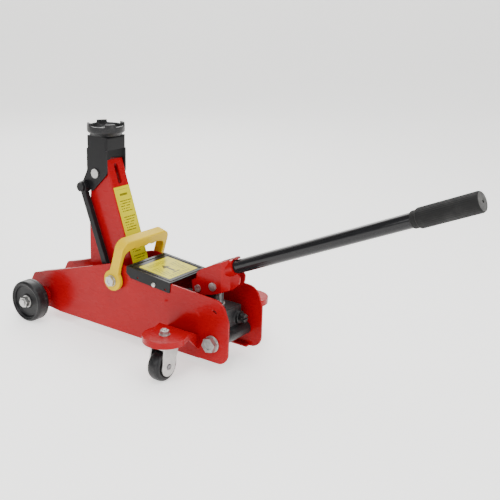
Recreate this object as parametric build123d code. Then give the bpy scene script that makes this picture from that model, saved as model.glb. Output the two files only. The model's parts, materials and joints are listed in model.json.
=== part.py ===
from build123d import *
import os
from math import atan2, cos, degrees, radians, sin, sqrt, tan

# Two-tonne hydraulic trolley jack, in millimetres, drawn with its arm raised.
# +X runs from the saddle end to the handle end, +Y to the jack's right side, +Z up.
# Left is -Y. Drawing X = 0 is above the front wheels' axle line and Z = 0 is floor_drop above the floor.
# place() moves every piece so that the finished jack is centred on X = 0 and stands on Z = 0.

# ---- overall sizes ----
frame_half_width = 45.0        # outside of the side plates
nose_half_width = 41.0         # outside of the plates where they step in at the nose
frame_rear_x = 396.0
frame_nose_x = -33.0
frame_bottom_z = 13.0
plate_thickness = 3.0
flange_width = 9.0             # inward flange along the bottom of each side plate
floor_drop = 3.5               # from the drawing's Z = 0 down to the floor
running_gap = 0.05             # radial clearance of a shaft in its hole
side_gap = 0.4                 # gap between faces that slide past each other

# ---- lifting linkage, arm raised ----
pivot_x = 173.0
pivot_z = 101.0
arm_reach = 171.0              # main pivot to saddle pivot
arm_raised_angle = 111.6       # degrees from +X
arm_travel = 82.0              # degrees from raised to lowered
pivot_shaft_r = 9.0
link_offset_x = -23.3          # link bolt, measured from the saddle pivot
link_offset_z = -24.0
arm_half_width = 19.5
arm_wall = 3.0
arm_corner_r = 2.5
yoke_wall = 3.0
yoke_front = 19.0              # yoke faces, measured from the saddle pivot
yoke_rear = 24.0
yoke_height = 60.5             # saddle pivot to the top of the yoke
yoke_pin_r = 6.0
link_bolt_r = 5.0
link_width = 10.0
link_thickness = 8.5
link_boss_r = 9.0
saddle_r = 30.3
saddle_height = 15.5
saddle_lug = 4.5
saddle_lug_width = 17.0
lug_turn = 58.0                # first lug, in degrees from +X
saddle_band = 6.0              # start of the rim's straight side, above the saddle's foot
saddle_post_r = 8.0
saddle_post_depth = 12.0       # below the top of the yoke
yoke_top_thickness = 7.0

# ---- ram and hydraulic unit ----
ram_lever = 36.0               # main pivot to ram pin
ram_pin_r = 6.0
ram_r = 12.0
cylinder_bore_r = 15.0
cylinder_wall = 3.0
tank_r = 24.5
tank_wall = 2.5
tank_front_x = 227.0
nut_depth = 8.0                # front nut of the tank
spigot_depth = 4.0             # length of the nut inside the tank
filler_x = 285.0
block_front_x = 306.0
block_rear_x = 366.0
block_half_width = 36.0
block_top_z = 84.0
block_bottom_z = 26.0
rear_bolt_x = 366.6
rear_bolt_z = 42.6
rear_bolt_r = 7.0
rear_bolt_flats = 21.0
rear_bolt_head = 9.0
boss_r = 10.5
spring_r = 4.5
spring_wire = 1.6
spring_y = 30.5

# ---- pump handle ----
handle_angle = 24.2            # degrees above the floor
handle_ref_x = 395.8           # a point on the handle's axis; lengths run from it
handle_ref_z = 162.6
tube_r = 10.5
tube_wall = 1.5
tube_start = -48.0
tube_end = 366.0
grip_start = 278.0
grip_end = 375.4
grip_r = 14.2
collar_r = 12.2
collar_length = 8.0
socket_start = -50.0
socket_end = -21.0
socket_wall = 2.9
socket_half_width = 15.5
pinch_half_width = 8.0
socket_pivot_x = 316.0
socket_pivot_z = 111.0
drive_pin_x = 344.0
drive_pin_z = 119.5
socket_pin_r = 4.5
roller_r = 6.5
piston_x = 344.0
piston_r = 5.0
barrel_r = 10.0
barrel_top_z = 90.0
barrel_base_z = 42.0
valve_y = 22.0
valve_z = 66.0
valve_r = 4.0
valve_seat_r = 10.0
piston_cap_r = 8.0

# ---- cover and carry handle ----
cover_front_x = 196.5
cover_rear_x = 286.5
cover_front_z = 128.6
cover_rear_z = 120.2
cover_sheet = 1.3
cover_skirt = 17.0
handle_bolt_r = 6.0
eyelet_r = 17.0
eyelet_thickness = 8.0
carry_height = 62.0            # bolt line to the middle of the grip
carry_lean = 15.8              # degrees, towards the rear
carry_grip = 17.5
carry_leg = 17.0

# ---- wheels ----
wheel_r = 35.2
wheel_outer_y = 85.0
wheel_width = 23.0
hub_outer_y = 80.0
axle_r = 6.0
caster_x = 325.5
caster_y = 105.7
caster_trail = 5.5
caster_wheel_r = 24.0
caster_wheel_width = 21.0
fork_end_r = 14.5
caster_axle_r = 3.9
wing_rise = 21.8               # top of the caster wheel to top of the wing
wing_drop = 16.3               # from the wing's top down to its foot on the plate
wing_r = 33.0
wing_skirt = 10.0
wing_root_front_x = 281.0
wing_root_rear_x = 341.0
wing_wall = 2.5
pad_depth = 1.4                # pressed pad under the wing
stud_r = 4.0

# ---- worked out from the sizes above ----
axle_z = wheel_r - floor_drop
caster_axle_z = caster_wheel_r - floor_drop
wing_top_z = caster_axle_z + caster_wheel_r + wing_rise
wing_root_z = wing_top_z - wing_drop
saddle_pivot_x = pivot_x + arm_reach * cos(radians(arm_raised_angle))
saddle_pivot_z = pivot_z + arm_reach * sin(radians(arm_raised_angle))
link_top_x = saddle_pivot_x + link_offset_x
link_top_z = saddle_pivot_z + link_offset_z
link_base_x = pivot_x + link_offset_x
link_base_z = pivot_z + link_offset_z
yoke_top_z = saddle_pivot_z + yoke_height
yoke_half_width = arm_half_width + side_gap + yoke_wall
link_inner_y = yoke_half_width + side_gap
link_outer_y = link_inner_y + link_thickness
ram_raised_angle = 270.0 - arm_travel / 2
ram_pin_x = pivot_x + ram_lever * cos(radians(ram_raised_angle))
ram_pin_z = pivot_z + ram_lever * sin(radians(ram_raised_angle))
ram_stroke = 2 * ram_lever * sin(radians(arm_travel / 2))
ram_low_z = pivot_z - ram_lever
ram_axis_z = (ram_pin_z + ram_low_z) / 2
plate_inner_y = frame_half_width - plate_thickness
nose_inner_y = nose_half_width - plate_thickness
cover_half_width = frame_half_width + 0.3 + cover_sheet
eyelet_inner_y = cover_half_width + side_gap
eyelet_outer_y = eyelet_inner_y + eyelet_thickness
handle_dir = (cos(radians(handle_angle)), sin(radians(handle_angle)))
grip_tip_x = handle_ref_x + grip_end * handle_dir[0] + grip_r * handle_dir[1]
origin_x = (grip_tip_x - wheel_r) / 2


# ---- drawing helpers ----
def place(node, shape):
    """Move a finished piece to the jack's own origin and write it."""
    export_step(Pos(-origin_x, 0, floor_drop) * shape, "parts/" + node + ".step")


def pair(node, shape):
    """Write a left-hand piece and its mirror image on the right."""
    place(node + "_left", shape)
    place(node + "_right", mirror(shape, about=Plane.XZ))


def both(shape):
    return shape + mirror(shape, about=Plane.XZ)


def slab(face, y_from, y_to):
    """A side outline, drawn as X and Z, given thickness from y_from to y_to."""
    return extrude(Plane.XZ.offset(-y_to) * face, y_to - y_from)


def rounded(points, radii):
    return make_face(FilletPolyline(*points, radius=radii, close=True))


def disc(x, z, r):
    return Pos(x, z) * Circle(r)


def bar_y(x, z, r, y_from, y_to):
    return slab(disc(x, z, r), y_from, y_to)


def bar_x(x_from, x_to, y, z, r):
    return extrude(Plane.YZ.offset(x_from) * disc(y, z, r), x_to - x_from)


def bar_z(x, y, z_from, z_to, r):
    return extrude(Plane.XY.offset(z_from) * disc(x, y, r), z_to - z_from)


def hex_y(x, z, flats, y_from, y_to, turn=0.0):
    face = Pos(x, z) * RegularPolygon(flats / 2, 6, major_radius=False, rotation=turn)
    return slab(face, y_from, y_to)


def block(x_from, x_to, y_from, y_to, z_from, z_to):
    size = Box(x_to - x_from, y_to - y_from, z_to - z_from)
    return Pos((x_from + x_to) / 2, (y_from + y_to) / 2, (z_from + z_to) / 2) * size


def along_handle(s_from, s_to, r):
    """A cylinder on the pump handle's axis."""
    plane = Plane(
        origin=(handle_ref_x, 0, handle_ref_z),
        x_dir=(0, 1, 0),
        z_dir=(handle_dir[0], 0, handle_dir[1]),
    )
    return extrude(plane.offset(s_from) * Circle(r), s_to - s_from)


# ---- frame ----
def deck_z(x):
    """Height of a side plate's top edge under the cover and behind it."""
    slope = (cover_rear_z - cover_front_z) / (cover_rear_x - cover_front_x)
    return cover_front_z - cover_sheet - 0.7 + slope * (x - cover_front_x)


def plate_outline():
    nose_top_z = 68.0
    shoulder_z = deck_z(pivot_x + 2)
    tail_z = deck_z(cover_rear_x) - 6.0
    points = [
        (frame_nose_x + 14, frame_bottom_z),
        (frame_nose_x, 31),
        (frame_nose_x, 52),
        (frame_nose_x + 9, nose_top_z),
        (pivot_x + 2, shoulder_z),
        (cover_rear_x, deck_z(cover_rear_x)),
        (frame_rear_x - 12, tail_z),
        (frame_rear_x, 82),
        (frame_rear_x, frame_bottom_z),
    ]
    return rounded(points, [3, 8, 8, 6, 45, 30, 22, 18, 19])


def plan_strip(outer_front, outer_rear, thickness):
    """The plate seen from above: a sheet that steps in behind the nose."""
    step_start = 15.0
    step_end = 42.0
    far_front = frame_nose_x - 10
    far_rear = frame_rear_x + 10
    points = [
        (far_front, -outer_front),
        (step_start, -outer_front),
        (step_end, -outer_rear),
        (far_rear, -outer_rear),
        (far_rear, -outer_rear + thickness),
        (step_end, -outer_rear + thickness),
        (step_start, -outer_front + thickness),
        (far_front, -outer_front + thickness),
    ]
    return extrude(make_face(Polyline(*points, close=True)), 200)


def pressed_pad(depth):
    """The pad that the caster wing is welded to, as a tapered block from the plate's face."""
    pad_front = 262.0
    pad_rear = 347.0
    pad_top = 95.0
    pad_foot = frame_bottom_z - 8
    corners = [(pad_front, pad_foot), (pad_front, pad_top), (pad_rear, pad_top), (pad_rear, pad_foot)]
    middle = rounded(corners, [1, 20, 17, 1])
    start = Plane.XZ.offset(frame_half_width - depth)
    return extrude(start * middle, 2 * depth, taper=62)


def side_plate(slotted):
    """A pressed plate, drawn as the left one. Only the left one has the small slot near its tail."""
    plate = plan_strip(nose_half_width, frame_half_width, plate_thickness)
    plate = plate & slab(plate_outline(), -80, 0)
    below = block(frame_nose_x, frame_rear_x, -60, 0, -20, frame_bottom_z)
    pad = pressed_pad(pad_depth) - below
    plate = plate + (pad & slab(plate_outline(), -80, 0))
    lip_front = -9.0
    lip_rear = 66.0
    lip = block(lip_front, lip_rear, -nose_half_width + 1, -link_outer_y - side_gap, -2, 0)
    slope = atan2(deck_z(pivot_x + 2) - 68.0, pivot_x + 2 - frame_nose_x - 9)
    lip = Pos(0, 0, 68.0 - (frame_nose_x + 9) * tan(slope)) * Rot(0, -degrees(slope), 0) * lip
    lip = lip & plan_strip(nose_half_width, frame_half_width, nose_half_width - link_outer_y - side_gap)
    flange_inner = plate_inner_y - flange_width
    flange_top = frame_bottom_z + plate_thickness
    flange = block(70, frame_rear_x - 21, -plate_inner_y - 1, -flange_inner, frame_bottom_z, flange_top)
    plate = plate + lip + flange
    holes = bar_y(pivot_x, pivot_z, pivot_shaft_r, -50, -30)
    holes = holes + bar_y(rear_bolt_x, rear_bolt_z, rear_bolt_r + 0.3, -50, -30)
    plate = plate - holes
    if slotted:
        plate = plate - slab(Pos(370, 94) * Rot(0, 0, -25) * SlotOverall(9, 3.4), -50, -30)
    return plate


def floor_pan():
    pan = block(-8, 62, -nose_inner_y, nose_inner_y, frame_bottom_z, frame_bottom_z + plate_thickness)
    ribs = block(-8, 62, -1.5, 1.5, frame_bottom_z + plate_thickness - 0.5, frame_bottom_z + 7)
    return pan + ribs


def mid_tie():
    tie = bar_y(250, 27, 8, -plate_inner_y, plate_inner_y)
    return tie - bar_y(250, 27, 5.5, -plate_inner_y, plate_inner_y)


def front_axle():
    """A stub welded to the nose: flange, shoulder, journal and threaded end."""
    shoulder_y = wheel_outer_y - wheel_width - side_gap
    stub = bar_y(0, axle_z, 14, -nose_half_width - 4, -nose_half_width)
    stub = stub + bar_y(0, axle_z, 9.5, -shoulder_y, -nose_half_width)
    return stub + bar_y(0, axle_z, axle_r, -hub_outer_y - 12.5, -shoulder_y)


def axle_washer():
    inner = hub_outer_y + side_gap
    return bar_y(0, axle_z, 10.5, -inner - 1.6, -inner) - bar_y(0, axle_z, axle_r, -100, 0)


def axle_nut():
    inner = hub_outer_y + side_gap + 1.6
    nut = hex_y(0, axle_z, 17, -inner - 8, -inner, 10)
    dome = bar_y(0, axle_z, 9.4, -inner - 8, -inner)
    return (nut & dome) - bar_y(0, axle_z, axle_r, -100, 0)


def pivot_shaft():
    shaft = bar_y(pivot_x, pivot_z, pivot_shaft_r, -frame_half_width, frame_half_width)
    thread = bar_y(pivot_x, pivot_z, 4, frame_half_width - 22, frame_half_width)
    return shaft - both(thread)


def shaft_spacer():
    """A sleeve that keeps the arm central between the side plates."""
    inner = arm_half_width + 3.0 + side_gap
    sleeve = bar_y(pivot_x, pivot_z, 12, -plate_inner_y, -inner)
    return sleeve - bar_y(pivot_x, pivot_z, pivot_shaft_r, -50, 0)


def carry_bolt():
    head_y = eyelet_outer_y + side_gap
    bolt = bar_y(pivot_x, pivot_z, 4, -frame_half_width, -frame_half_width + 20)
    bolt = bolt + bar_y(pivot_x, pivot_z, handle_bolt_r, -head_y, -frame_half_width)
    bolt = bolt + bar_y(pivot_x, pivot_z, 9, -head_y - 1.2, -head_y)
    head = hex_y(pivot_x, pivot_z, 15, -head_y - 6, -head_y - 1, 20)
    cup = bar_y(pivot_x, pivot_z, 4.2, -head_y - 7, -head_y - 5.2)
    return bolt + head - cup


def link_anchor():
    """A pin welded to the inside of the plate, with a groove for its clip."""
    pin = bar_y(link_base_x, link_base_z, link_bolt_r, -plate_inner_y, -link_inner_y + 0.2)
    flange = bar_y(link_base_x, link_base_z, 10, -plate_inner_y, -link_outer_y - side_gap)
    return pin + flange


def cover_profile(z_shift):
    """Cover's top line seen from the side, lowered by z_shift."""
    return [
        (cover_front_x, cover_front_z - z_shift),
        (cover_rear_x, cover_rear_z - z_shift),
    ]


def cover_plate():
    top = cover_profile(0)
    outline = [
        top[0],
        top[1],
        (cover_rear_x - 1.5, cover_rear_z - cover_skirt),
        (cover_front_x + 9, cover_front_z - cover_skirt - 1.5),
        (cover_front_x, cover_front_z - 11),
    ]
    solid = slab(rounded(outline, [0.5, 0.5, 2, 6, 1]), -cover_half_width, cover_half_width)
    inner_y = cover_half_width - cover_sheet
    under = [
        (cover_front_x - 10, cover_front_z - 60),
        (cover_front_x - 10, deck_z(cover_front_x - 10) + 0.7),
        (cover_rear_x + 10, deck_z(cover_rear_x + 10) + 0.7),
        (cover_rear_x + 10, cover_front_z - 60),
    ]
    shell = solid - slab(make_face(Polyline(*under, close=True)), -inner_y, inner_y)
    holes = bar_y(220, 113.5, 1.6, -60, 60) + bar_y(276.5, 107.5, 1.6, -60, 60)
    holes = holes + bar_y(253, 110, 2.2, -60, 60)
    frame_bead = cover_bead()
    return shell + frame_bead - holes


def on_cover(thickness, length, width, lift, shift=0.0):
    """A plate lying on the sloping cover, moved back from its middle by shift."""
    slope = degrees(atan2(cover_front_z - cover_rear_z, cover_rear_x - cover_front_x))
    centre_x = (cover_front_x + cover_rear_x) / 2
    centre_z = (cover_front_z + cover_rear_z) / 2
    plate = Box(length, width, thickness, align=(Align.CENTER, Align.CENTER, Align.MIN))
    return Pos(centre_x, 0, centre_z) * Rot(0, slope, 0) * Pos(shift, 0, lift) * plate


def cover_bead():
    outer = on_cover(1.3, 83, 83, -0.5)
    inner = on_cover(3, 77, 77, -1)
    return outer - inner


def cover_label():
    return on_cover(0.3, 63, 70, 0, 2.5)


def cover_screws():
    inner = cover_half_width
    head = bar_y(253, 110, 4, -inner - 2.2, -inner)
    shank = bar_y(253, 110, 2, -inner, -frame_half_width)
    return both(head + shank)


def rear_bolt():
    head_y = frame_half_width + 1.8
    bolt = bar_y(rear_bolt_x, rear_bolt_z, rear_bolt_r, -head_y, -block_half_width + 12)
    top_y = head_y + rear_bolt_head
    head = hex_y(rear_bolt_x, rear_bolt_z, rear_bolt_flats, -top_y, -head_y, 12)
    cup = bar_y(rear_bolt_x, rear_bolt_z, 6.4, -top_y - 1, -top_y + 1)
    return bolt + head - cup


def rear_washer():
    ring = bar_y(rear_bolt_x, rear_bolt_z, 13.2, -frame_half_width - 1.8, -frame_half_width)
    return ring - bar_y(rear_bolt_x, rear_bolt_z, rear_bolt_r, -60, 0)


# ---- caster wings and casters ----
def wing_outline(inset):
    r = wing_r - inset
    root_y = -frame_half_width + 1.4
    front = [(wing_root_front_x + inset, root_y), (caster_x - r * 0.93, -caster_y + r * 0.37)]
    rear = [(caster_x + r * 0.985, -caster_y + r * 0.17), (wing_root_rear_x - inset, root_y)]
    arc = ThreePointArc(front[1], (caster_x - r * 0.26, -caster_y - r * 0.966), rear[0])
    edges = [Line(front[0], front[1]), arc, Line(rear[0], rear[1]), Line(rear[1], front[0])]
    return make_face(Curve() + edges)


def below_line(y_a, z_a, y_b, z_b):
    """Everything under a straight line drawn across the wing, as Y and Z."""
    slope = (z_b - z_a) / (y_b - y_a)
    points = [
        (-200, z_a + slope * (-200 - y_a)),
        (0, z_a + slope * (0 - y_a)),
        (0, -100),
        (-200, -100),
    ]
    return extrude(Plane.YZ.offset(200) * make_face(Polyline(*points, close=True)), 250)


def under_ramp(drop):
    """The space under the wing's top: level outside, ramped down to the plate."""
    ramp_y = -76.0
    level = wing_top_z - drop
    points = [
        (-200, level),
        (ramp_y, level),
        (-frame_half_width, wing_root_z - drop),
        (0, wing_root_z - drop),
        (0, -100),
        (-200, -100),
    ]
    return extrude(Plane.YZ.offset(200) * make_face(Polyline(*points, close=True)), 250)


def caster_wing():
    """A pressed wing: level round the stud, then ramped down to the plate, with a skirt round its edge."""
    skirt_z = wing_top_z - wing_skirt
    skirt_end_y = -82.0
    skirt_root_z = 27.0
    outer = extrude(Plane.XY * wing_outline(0), 100) & under_ramp(0)
    inner = extrude(Plane.XY * wing_outline(wing_wall), 100) & under_ramp(3.0)
    wing = outer - inner
    wing = wing - block(200, 400, -200, skirt_end_y, -10, skirt_z)
    outboard = block(200, 500, -201, skirt_end_y, -101, 300)
    wing = wing - (below_line(skirt_end_y, skirt_z, -frame_half_width, skirt_root_z) - outboard)
    wing = wing - block(200, 400, -frame_half_width - pad_depth, 0, 0, 100)
    return wing - bar_z(caster_x, -caster_y, 0, 100, stud_r + 0.2)


def stud_nut():
    """Washer, nut and the riveted end of the swivel stud, seen on top of the wing."""
    washer = bar_z(caster_x, -caster_y, wing_top_z, wing_top_z + 1.2, 8.5)
    face = Pos(caster_x, -caster_y) * RegularPolygon(6.5, 6, major_radius=False, rotation=20)
    nut = extrude(Plane.XY.offset(wing_top_z + 1.2) * face, 6.3)
    stud = bar_z(caster_x, -caster_y, wing_top_z - 12.5, wing_top_z + 9, stud_r)
    return washer + nut + stud


def swivel_cup():
    """Fixed upper race of the caster's swivel, under the wing."""
    top = wing_top_z - 3.0
    cup = bar_z(caster_x, -caster_y, top - 5.5, top, 13)
    hollow = bar_z(caster_x, -caster_y, top - 5.5, top - 1.5, 11)
    return cup - hollow - bar_z(caster_x, -caster_y, 0, 100, stud_r + 0.2)


def caster_fork():
    leg_inner = caster_wheel_width / 2 + 0.6
    leg_wall = 2.4
    leg_outer = leg_inner + leg_wall
    axle_y = -caster_y - caster_trail
    crown_top = wing_top_z - 9.5
    crown_bottom = caster_axle_z + caster_wheel_r + 3.0
    crown = bar_z(caster_x, -caster_y, crown_bottom, crown_top, 12.5)
    crown = crown + bar_z(caster_x, -caster_y, crown_top - 0.5, crown_top + 4.5, 9)
    leg_points = [
        (-caster_y + 18, crown_top - 3),
        (-caster_y - 15, crown_top - 3),
        (axle_y - fork_end_r, caster_axle_z),
        (axle_y + fork_end_r, caster_axle_z),
    ]
    face = make_face(Polyline(*leg_points, close=True)) + disc(axle_y, caster_axle_z, fork_end_r)
    legs = extrude(Plane.YZ.offset(caster_x + leg_inner) * face, leg_wall)
    legs = legs + extrude(Plane.YZ.offset(caster_x - leg_outer) * face, leg_wall)
    front = caster_x - leg_outer
    rear = caster_x + leg_outer
    bridge = block(front, rear, -caster_y - 15, -caster_y + 18, crown_bottom, crown_top - 3)
    rivet = bar_x(front - 1.5, rear + 1.5, axle_y, caster_axle_z, caster_axle_r)
    stud_hole = bar_z(caster_x, -caster_y, 0, 100, stud_r + running_gap)
    return crown + bridge + legs - stud_hole - rivet


def caster_axle():
    leg_outer = caster_wheel_width / 2 + 3.0
    axle_y = -caster_y - caster_trail
    return bar_x(caster_x - leg_outer - 1.5, caster_x + leg_outer + 1.5, axle_y, caster_axle_z, caster_axle_r)


def caster_wheel():
    half = caster_wheel_width / 2
    axle_y = -caster_y - caster_trail
    wheel = bar_x(caster_x - half, caster_x + half, axle_y, caster_axle_z, caster_wheel_r)
    wheel = fillet(wheel.edges().filter_by(GeomType.CIRCLE), 5.0)
    bore = bar_x(caster_x - 30, caster_x + 30, axle_y, caster_axle_z, caster_axle_r + running_gap)
    dish = bar_x(caster_x + half - 2, caster_x + half, axle_y, caster_axle_z, 14)
    dish = dish + bar_x(caster_x - half, caster_x - half + 2, axle_y, caster_axle_z, 14)
    hub = bar_x(caster_x - half, caster_x + half, axle_y, caster_axle_z, 6.5)
    return wheel - dish + hub - bore


# ---- front wheels ----
def front_wheel():
    """A moulded wheel: tread, raised rim, recessed web and hub, turned about Y."""
    inner = wheel_outer_y - wheel_width
    profile = [
        (axle_r + running_gap, inner),
        (11, inner),
        (11, inner + 5),
        (wheel_r - 7, inner + 5),
        (wheel_r - 6, inner),
        (wheel_r - 2, inner),
        (wheel_r, inner + 2.5),
        (wheel_r, wheel_outer_y - 3),
        (wheel_r - 2.5, wheel_outer_y),
        (wheel_r - 5.5, wheel_outer_y),
        (wheel_r - 7, wheel_outer_y - 5.5),
        (12, hub_outer_y - 3),
        (11, hub_outer_y),
        (axle_r + running_gap, hub_outer_y),
    ]
    face = Plane.XY * make_face(Polyline(*profile, close=True))
    wheel = revolve(face, Axis.Y)
    return mirror(Pos(0, 0, axle_z) * wheel, about=Plane.XZ)


# ---- lifting arm, yoke, saddle and links ----
def arm_back():
    """The top and the foot of the arm's rear face."""
    return (saddle_pivot_x + 19.5, saddle_pivot_z + 23), (pivot_x + 13, pivot_z + 19)


def arm_outline():
    """Side of the raised arm: straight front edge, sloping back, pivot and ram pin bosses."""
    back_top, back_foot = arm_back()
    face = make_face(
        Polyline(
            back_top,
            back_foot,
            (pivot_x + 14, pivot_z),
            (ram_pin_x + 7, ram_pin_z - 8),
            (ram_pin_x - 8, ram_pin_z - 7),
            (pivot_x - 74, pivot_z - 14),
            (pivot_x - 81.3, pivot_z - 4),
            (pivot_x - 81.3, pivot_z + 66),
            (saddle_pivot_x - 13, saddle_pivot_z - 6),
            (saddle_pivot_x - 11, saddle_pivot_z + 8),
            (saddle_pivot_x - 3, saddle_pivot_z + 20),
            close=True,
        )
    )
    face = face + disc(pivot_x, pivot_z, 20) + disc(ram_pin_x, ram_pin_z, 11)
    return face + disc(saddle_pivot_x, saddle_pivot_z, 13)


def lift_arm():
    back_top, back_foot = arm_back()
    run = sqrt((back_top[0] - back_foot[0]) ** 2 + (back_top[1] - back_foot[1]) ** 2)
    nx = (back_top[1] - back_foot[1]) / run
    nz = (back_foot[0] - back_top[0]) / run
    web = make_face(
        Polyline(
            back_top,
            back_foot,
            (back_foot[0] - nx * arm_wall, back_foot[1] - nz * arm_wall),
            (back_top[0] - nx * arm_wall, back_top[1] - nz * arm_wall),
            close=True,
        )
    )
    inner_y = arm_half_width - arm_wall
    arm = both(slab(arm_outline(), -arm_half_width, -inner_y)) + slab(web, -arm_half_width, arm_half_width)
    depth = 300.0
    section = Plane(origin=(back_top[0], 0, back_top[1]), x_dir=(0, 1, 0), z_dir=(-nz, 0, nx))
    envelope = Pos(0, depth / 2) * RectangleRounded(2 * arm_half_width, depth, arm_corner_r)
    arm = arm & extrude(section * envelope, 2 * depth, both=True)
    hub = bar_y(pivot_x, pivot_z, 13, -arm_half_width - 3, arm_half_width + 3)
    arm = arm + hub
    slot_middle = Plane(
        origin=(back_top[0] + nz * 24, 0, back_top[1] - nx * 24),
        x_dir=(-nz, 0, nx),
        z_dir=(nx, 0, nz),
    )
    slot = extrude(slot_middle.offset(-20) * SlotOverall(34, 8), 40)
    bores = bar_y(pivot_x, pivot_z, pivot_shaft_r + running_gap, -60, 60)
    bores = bores + bar_y(ram_pin_x, ram_pin_z, ram_pin_r, -60, 60)
    bores = bores + bar_y(saddle_pivot_x, saddle_pivot_z, yoke_pin_r, -60, 60)
    return arm - slot - bores


def arm_label():
    """The printed strip on the back of the arm."""
    back_top, back_foot = arm_back()
    run = sqrt((back_top[0] - back_foot[0]) ** 2 + (back_top[1] - back_foot[1]) ** 2)
    ux = (back_foot[0] - back_top[0]) / run
    uz = (back_foot[1] - back_top[1]) / run
    top = 45.0
    foot = run - 3.0
    middle = (top + foot) / 2
    plane = Plane(
        origin=(back_top[0] + ux * middle, 0, back_top[1] + uz * middle),
        x_dir=(ux, 0, uz),
        z_dir=(-uz, 0, ux),
    )
    return extrude(plane * Rectangle(foot - top, 2 * arm_half_width - arm_corner_r), 0.3)


def ram_pin():
    return bar_y(ram_pin_x, ram_pin_z, ram_pin_r, -arm_half_width, arm_half_width)


def yoke_pin():
    """The saddle pivot: pressed in the arm, turning in the yoke, headed both ends."""
    outer = yoke_half_width + side_gap
    pin = bar_y(saddle_pivot_x, saddle_pivot_z, yoke_pin_r, -outer, outer)
    head = bar_y(saddle_pivot_x, saddle_pivot_z, yoke_pin_r + 1.6, -outer - 2.2, -outer)
    return pin + both(head)


def saddle_yoke():
    front = saddle_pivot_x - yoke_front
    rear = saddle_pivot_x + yoke_rear
    opening_z = saddle_pivot_z + 39.0
    cheek = rounded(
        [
            (front, yoke_top_z),
            (rear, yoke_top_z),
            (rear, saddle_pivot_z + 1),
            (link_top_x + 15, link_top_z - 7),
            (link_top_x - 5, link_top_z + 9),
            (front, saddle_pivot_z + 3),
        ],
        [4, 4, 6, 3, 1, 4],
    )
    cheek = cheek + disc(link_top_x, link_top_z, 10.5)
    inner = yoke_half_width - yoke_wall
    yoke = both(slab(cheek, -yoke_half_width, -inner))
    top = block(front, rear, -yoke_half_width, yoke_half_width, yoke_top_z - yoke_top_thickness, yoke_top_z)
    web = block(rear - yoke_wall, rear, -yoke_half_width, yoke_half_width, opening_z, yoke_top_z - 1)
    web = web + block(front, front + yoke_wall, -yoke_half_width, yoke_half_width, opening_z, yoke_top_z - 1)
    foot = opening_z - 5
    side = rounded([(front, foot), (front, yoke_top_z), (rear, yoke_top_z), (rear, foot)], [0, 3, 3, 0])
    collar = slab(side, -yoke_half_width, yoke_half_width)
    middle_x = (front + rear) / 2
    plan = Pos(middle_x, 0) * RectangleRounded(rear - front, 2 * yoke_half_width, 3.5)
    square = block(front, rear, -yoke_half_width, yoke_half_width, opening_z, yoke_top_z)
    corners = square - extrude(Plane.XY.offset(opening_z) * plan, yoke_top_z - opening_z)
    yoke = yoke + ((top + web) & collar) - corners
    bores = bar_y(saddle_pivot_x, saddle_pivot_z, yoke_pin_r + running_gap, -60, 60)
    bores = bores + bar_y(link_top_x, link_top_z, link_bolt_r, -60, 60)
    bores = bores + bar_z(middle_x, 0, yoke_top_z - 20, yoke_top_z + 20, saddle_post_r + running_gap)
    return yoke - bores


def link_bolt():
    """A headed bolt fixed in the yoke that the link turns on."""
    inner = yoke_half_width - yoke_wall
    bolt = bar_y(link_top_x, link_top_z, link_bolt_r, -link_outer_y - side_gap, -inner)
    head = bar_y(link_top_x, link_top_z, 7.5, -link_outer_y - side_gap - 3.2, -link_outer_y - side_gap)
    return bolt + head


def link_rod():
    run = sqrt((link_top_x - link_base_x) ** 2 + (link_top_z - link_base_z) ** 2)
    angle = degrees(atan2(link_top_z - link_base_z, link_top_x - link_base_x))
    middle = ((link_top_x + link_base_x) / 2, (link_top_z + link_base_z) / 2)
    face = Pos(*middle) * Rot(0, 0, angle) * Rectangle(run, link_width)
    face = face + disc(link_top_x, link_top_z, link_boss_r) + disc(link_base_x, link_base_z, link_boss_r)
    face = face - disc(link_top_x, link_top_z, link_bolt_r + running_gap)
    face = face - disc(link_base_x, link_base_z, link_bolt_r + running_gap)
    return slab(face, -link_outer_y, -link_inner_y)


def saddle():
    """A cast cup with four lugs, on a post that turns in the yoke."""
    x = saddle_pivot_x + (yoke_rear - yoke_front) / 2
    base = yoke_top_z + side_gap
    rim = yoke_top_z + saddle_height
    profile = [
        (0, yoke_top_z - saddle_post_depth),
        (saddle_post_r, yoke_top_z - saddle_post_depth),
        (saddle_post_r, base),
        (saddle_r - 4.5, base),
        (saddle_r - 4.5, base + 2.5),
        (saddle_r - 1.5, base + 4),
        (saddle_r, base + saddle_band),
        (saddle_r, rim),
        (saddle_r - 4, rim),
        (saddle_r - 6, rim - 6),
        (10, rim - 6),
        (8, rim - 4),
        (0, rim - 4),
    ]
    body = revolve(Plane.XZ * make_face(Polyline(*profile, close=True)), Axis.Z)
    half = saddle_lug_width / 2
    lug = block(saddle_r - 5, saddle_r - 0.3, -half, half, rim - 3, rim + saddle_lug)
    lug = lug & bar_z(0, 0, rim - 5, rim + 10, saddle_r - 0.4)
    for turn in (0, 90, 180, 270):
        body = body + Rot(0, 0, lug_turn + turn) * lug
    groove_z = yoke_top_z - yoke_top_thickness - 0.3
    groove = bar_z(0, 0, groove_z - 1.4, groove_z, 12) - bar_z(0, 0, groove_z - 1.4, groove_z, 6.5)
    return Pos(x, 0, 0) * (body - groove)


def saddle_clip():
    """The ring under the yoke's top that keeps the saddle in."""
    x = saddle_pivot_x + (yoke_rear - yoke_front) / 2
    groove_z = yoke_top_z - yoke_top_thickness - 0.3
    ring = bar_z(x, 0, groove_z - 1.2, groove_z - 0.2, 11) - bar_z(x, 0, groove_z - 2, groove_z + 1, 6.5)
    return ring


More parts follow.
